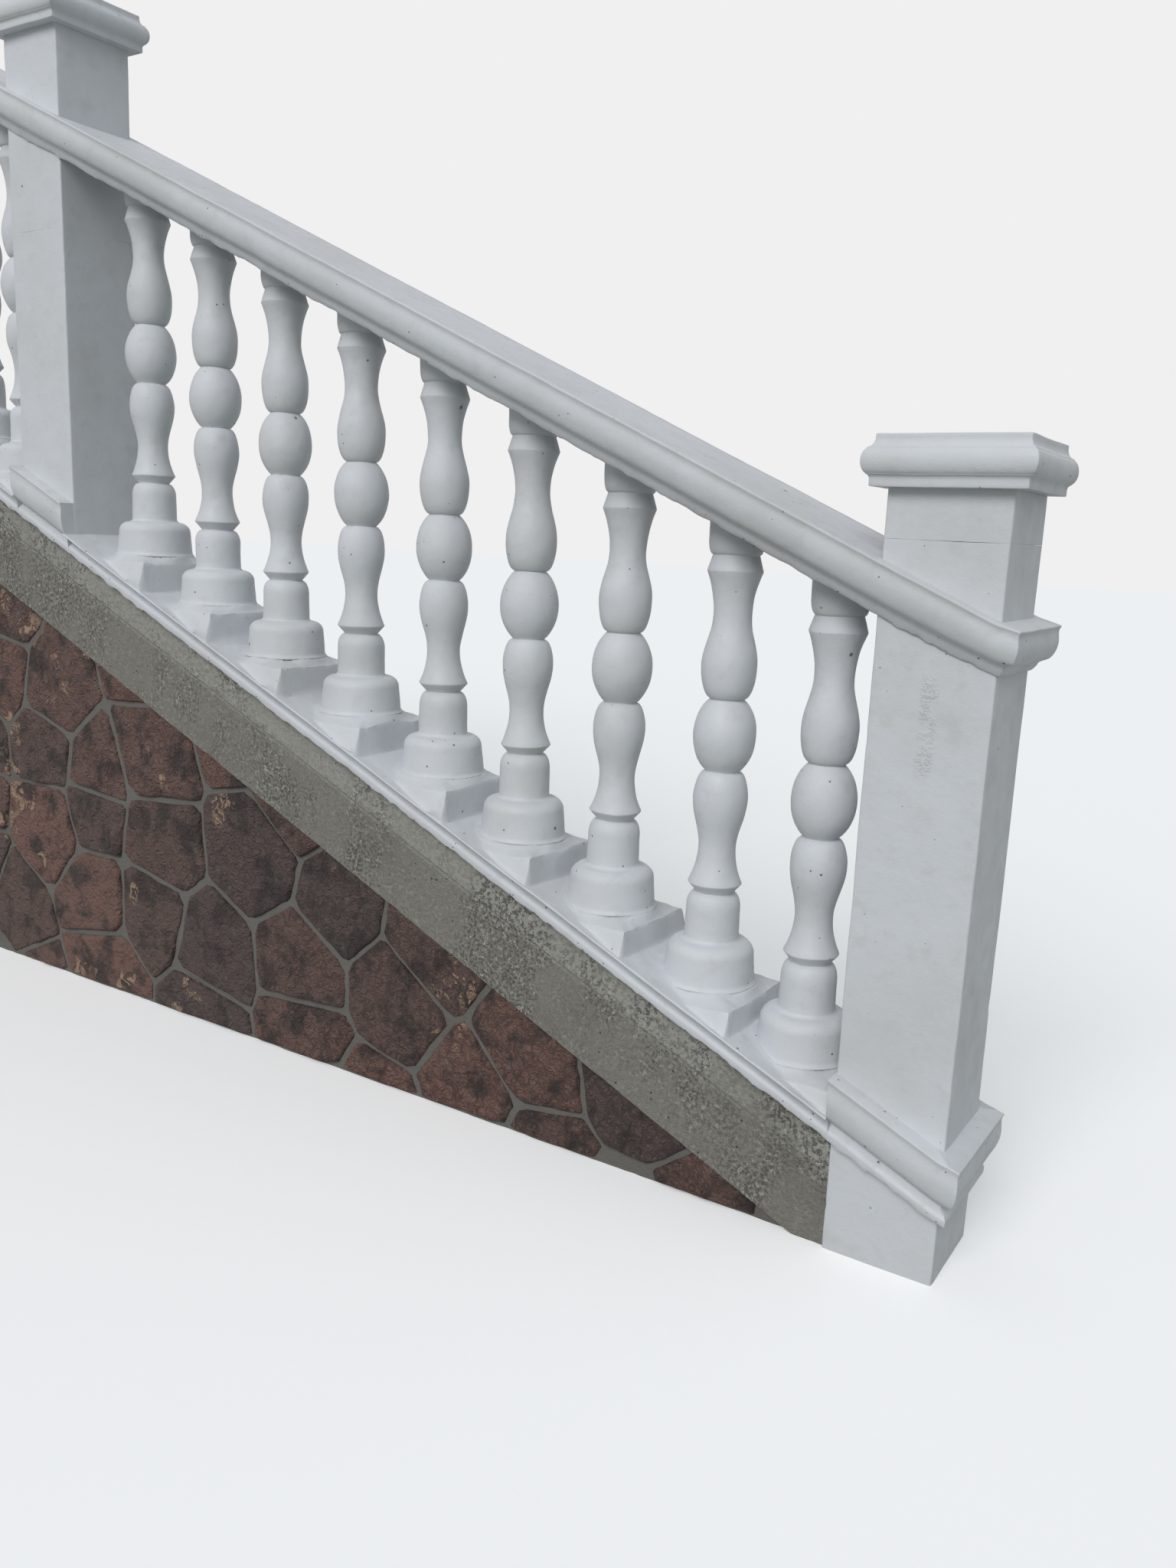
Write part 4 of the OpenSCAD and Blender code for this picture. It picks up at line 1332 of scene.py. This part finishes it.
def make_stage(s):
    st = s.stage
    make_camera(st)
    bpy.context.scene.view_settings.view_transform = "Standard"
    make_floor(st)
    lamp = bpy.data.lights.new("key", "SUN")
    lamp.energy = st.key
    lamp.angle = KEY_SPREAD
    shown("key", lamp).rotation_euler = KEY_TOWARD.to_track_quat("-Z", "Y").to_euler()
    world = bpy.data.worlds.new("studio")
    world.use_nodes = True
    w = Wiring(world.node_tree)
    light = w.add("ShaderNodeBackground", {"Color": SKY_COLOUR, "Strength": st.sky})
    backdrop = w.add("ShaderNodeBackground", {"Color": BACKDROP, "Strength": 1.0})
    mixed = w.add("ShaderNodeMixShader", {0: w.seen(), 1: light.outputs[0], 2: backdrop.outputs[0]})
    w.add("ShaderNodeOutputWorld", {"Surface": mixed.outputs[0]})
    bpy.context.scene.world = world


# Operators and panel

class BALUSTRADE_OT_balusters(bpy.types.Operator):
    """Cast balusters on their round plinths"""
    bl_idname = "balustrade.balusters"
    bl_label = "Balusters"

    def execute(self, context):
        make_balusters(context.scene.balustrade)
        return {"FINISHED"}


class BALUSTRADE_OT_handrails(bpy.types.Operator):
    """Moulded raking handrails between the newels"""
    bl_idname = "balustrade.handrails"
    bl_label = "Handrails"

    def execute(self, context):
        make_handrails(context.scene.balustrade)
        return {"FINISHED"}


class BALUSTRADE_OT_base_rails(bpy.types.Operator):
    """Base rails with the level mortar beds that carry the balusters"""
    bl_idname = "balustrade.base_rails"
    bl_label = "Base Rails and Beds"

    def execute(self, context):
        make_base_rails(context.scene.balustrade)
        return {"FINISHED"}


class BALUSTRADE_OT_newel_mouldings(bpy.types.Operator):
    """Raking mouldings on the newels, with their mitred returns"""
    bl_idname = "balustrade.newel_mouldings"
    bl_label = "Newel Mouldings"

    def execute(self, context):
        make_newel_mouldings(context.scene.balustrade)
        return {"FINISHED"}


class BALUSTRADE_OT_newel_shafts(bpy.types.Operator):
    """Square blocks of the newels with worn corners and hairline joints"""
    bl_idname = "balustrade.newel_shafts"
    bl_label = "Newel Shafts"

    def execute(self, context):
        make_newel_shafts(context.scene.balustrade)
        return {"FINISHED"}


class BALUSTRADE_OT_newel_caps(bpy.types.Operator):
    """Moulded caps of the newels"""
    bl_idname = "balustrade.newel_caps"
    bl_label = "Newel Caps"

    def execute(self, context):
        make_caps(context.scene.balustrade)
        return {"FINISHED"}


class BALUSTRADE_OT_concrete_bands(bpy.types.Operator):
    """Concrete bands of the raking string"""
    bl_idname = "balustrade.concrete_bands"
    bl_label = "Concrete Bands"

    def execute(self, context):
        make_bands(context.scene.balustrade)
        return {"FINISHED"}


class BALUSTRADE_OT_rubble_walls(bpy.types.Operator):
    """Rubble walls with split stones and cement pointing"""
    bl_idname = "balustrade.rubble_walls"
    bl_label = "Rubble Walls"

    def execute(self, context):
        make_walls(context.scene.balustrade)
        return {"FINISHED"}


class BALUSTRADE_OT_stage(bpy.types.Operator):
    """Camera, soft light and a plain pale floor"""
    bl_idname = "balustrade.stage"
    bl_label = "Stage"

    def execute(self, context):
        make_stage(context.scene.balustrade)
        return {"FINISHED"}


STEPS = (BALUSTRADE_OT_stage, BALUSTRADE_OT_newel_shafts, BALUSTRADE_OT_newel_caps,
         BALUSTRADE_OT_newel_mouldings, BALUSTRADE_OT_handrails, BALUSTRADE_OT_base_rails,
         BALUSTRADE_OT_balusters, BALUSTRADE_OT_concrete_bands, BALUSTRADE_OT_rubble_walls)
GROUPS = (BALUSTRADE_PG_baluster, BALUSTRADE_PG_rails, BALUSTRADE_PG_newels, BALUSTRADE_PG_wall,
          BALUSTRADE_PG_finish, BALUSTRADE_PG_stage, BALUSTRADE_PG_settings)


class BALUSTRADE_PT_panel(bpy.types.Panel):
    """Lists the steps and settings of the balustrade"""
    bl_idname = "BALUSTRADE_PT_panel"
    bl_label = "Stone Balustrade"
    bl_space_type = "VIEW_3D"
    bl_region_type = "UI"
    bl_category = "Balustrade"

    def draw(self, context):
        layout = self.layout
        for step in STEPS:
            layout.operator(step.bl_idname)
        settings = context.scene.balustrade
        for group in ("baluster", "rails", "newels", "wall", "finish", "stage"):
            box = layout.box()
            box.label(text=group.capitalize())
            values = getattr(settings, group)
            for key in values.__annotations__:
                box.prop(values, key)


CLASSES = (*GROUPS, *STEPS, BALUSTRADE_PT_panel)


def register():
    for cls in CLASSES:
        bpy.utils.register_class(cls)
    bpy.types.Scene.balustrade = group(BALUSTRADE_PG_settings, "Balustrade", "Settings of the balustrade")


def unregister():
    del bpy.types.Scene.balustrade
    for cls in reversed(CLASSES):
        bpy.utils.unregister_class(cls)


def main():
    register()
    for step in STEPS:
        call = getattr(bpy.ops.balustrade, step.bl_idname.split(".")[1])
        if call() != {"FINISHED"}:
            raise RuntimeError(step.bl_label + " could not be made")


if __name__ == "__main__":
    main()
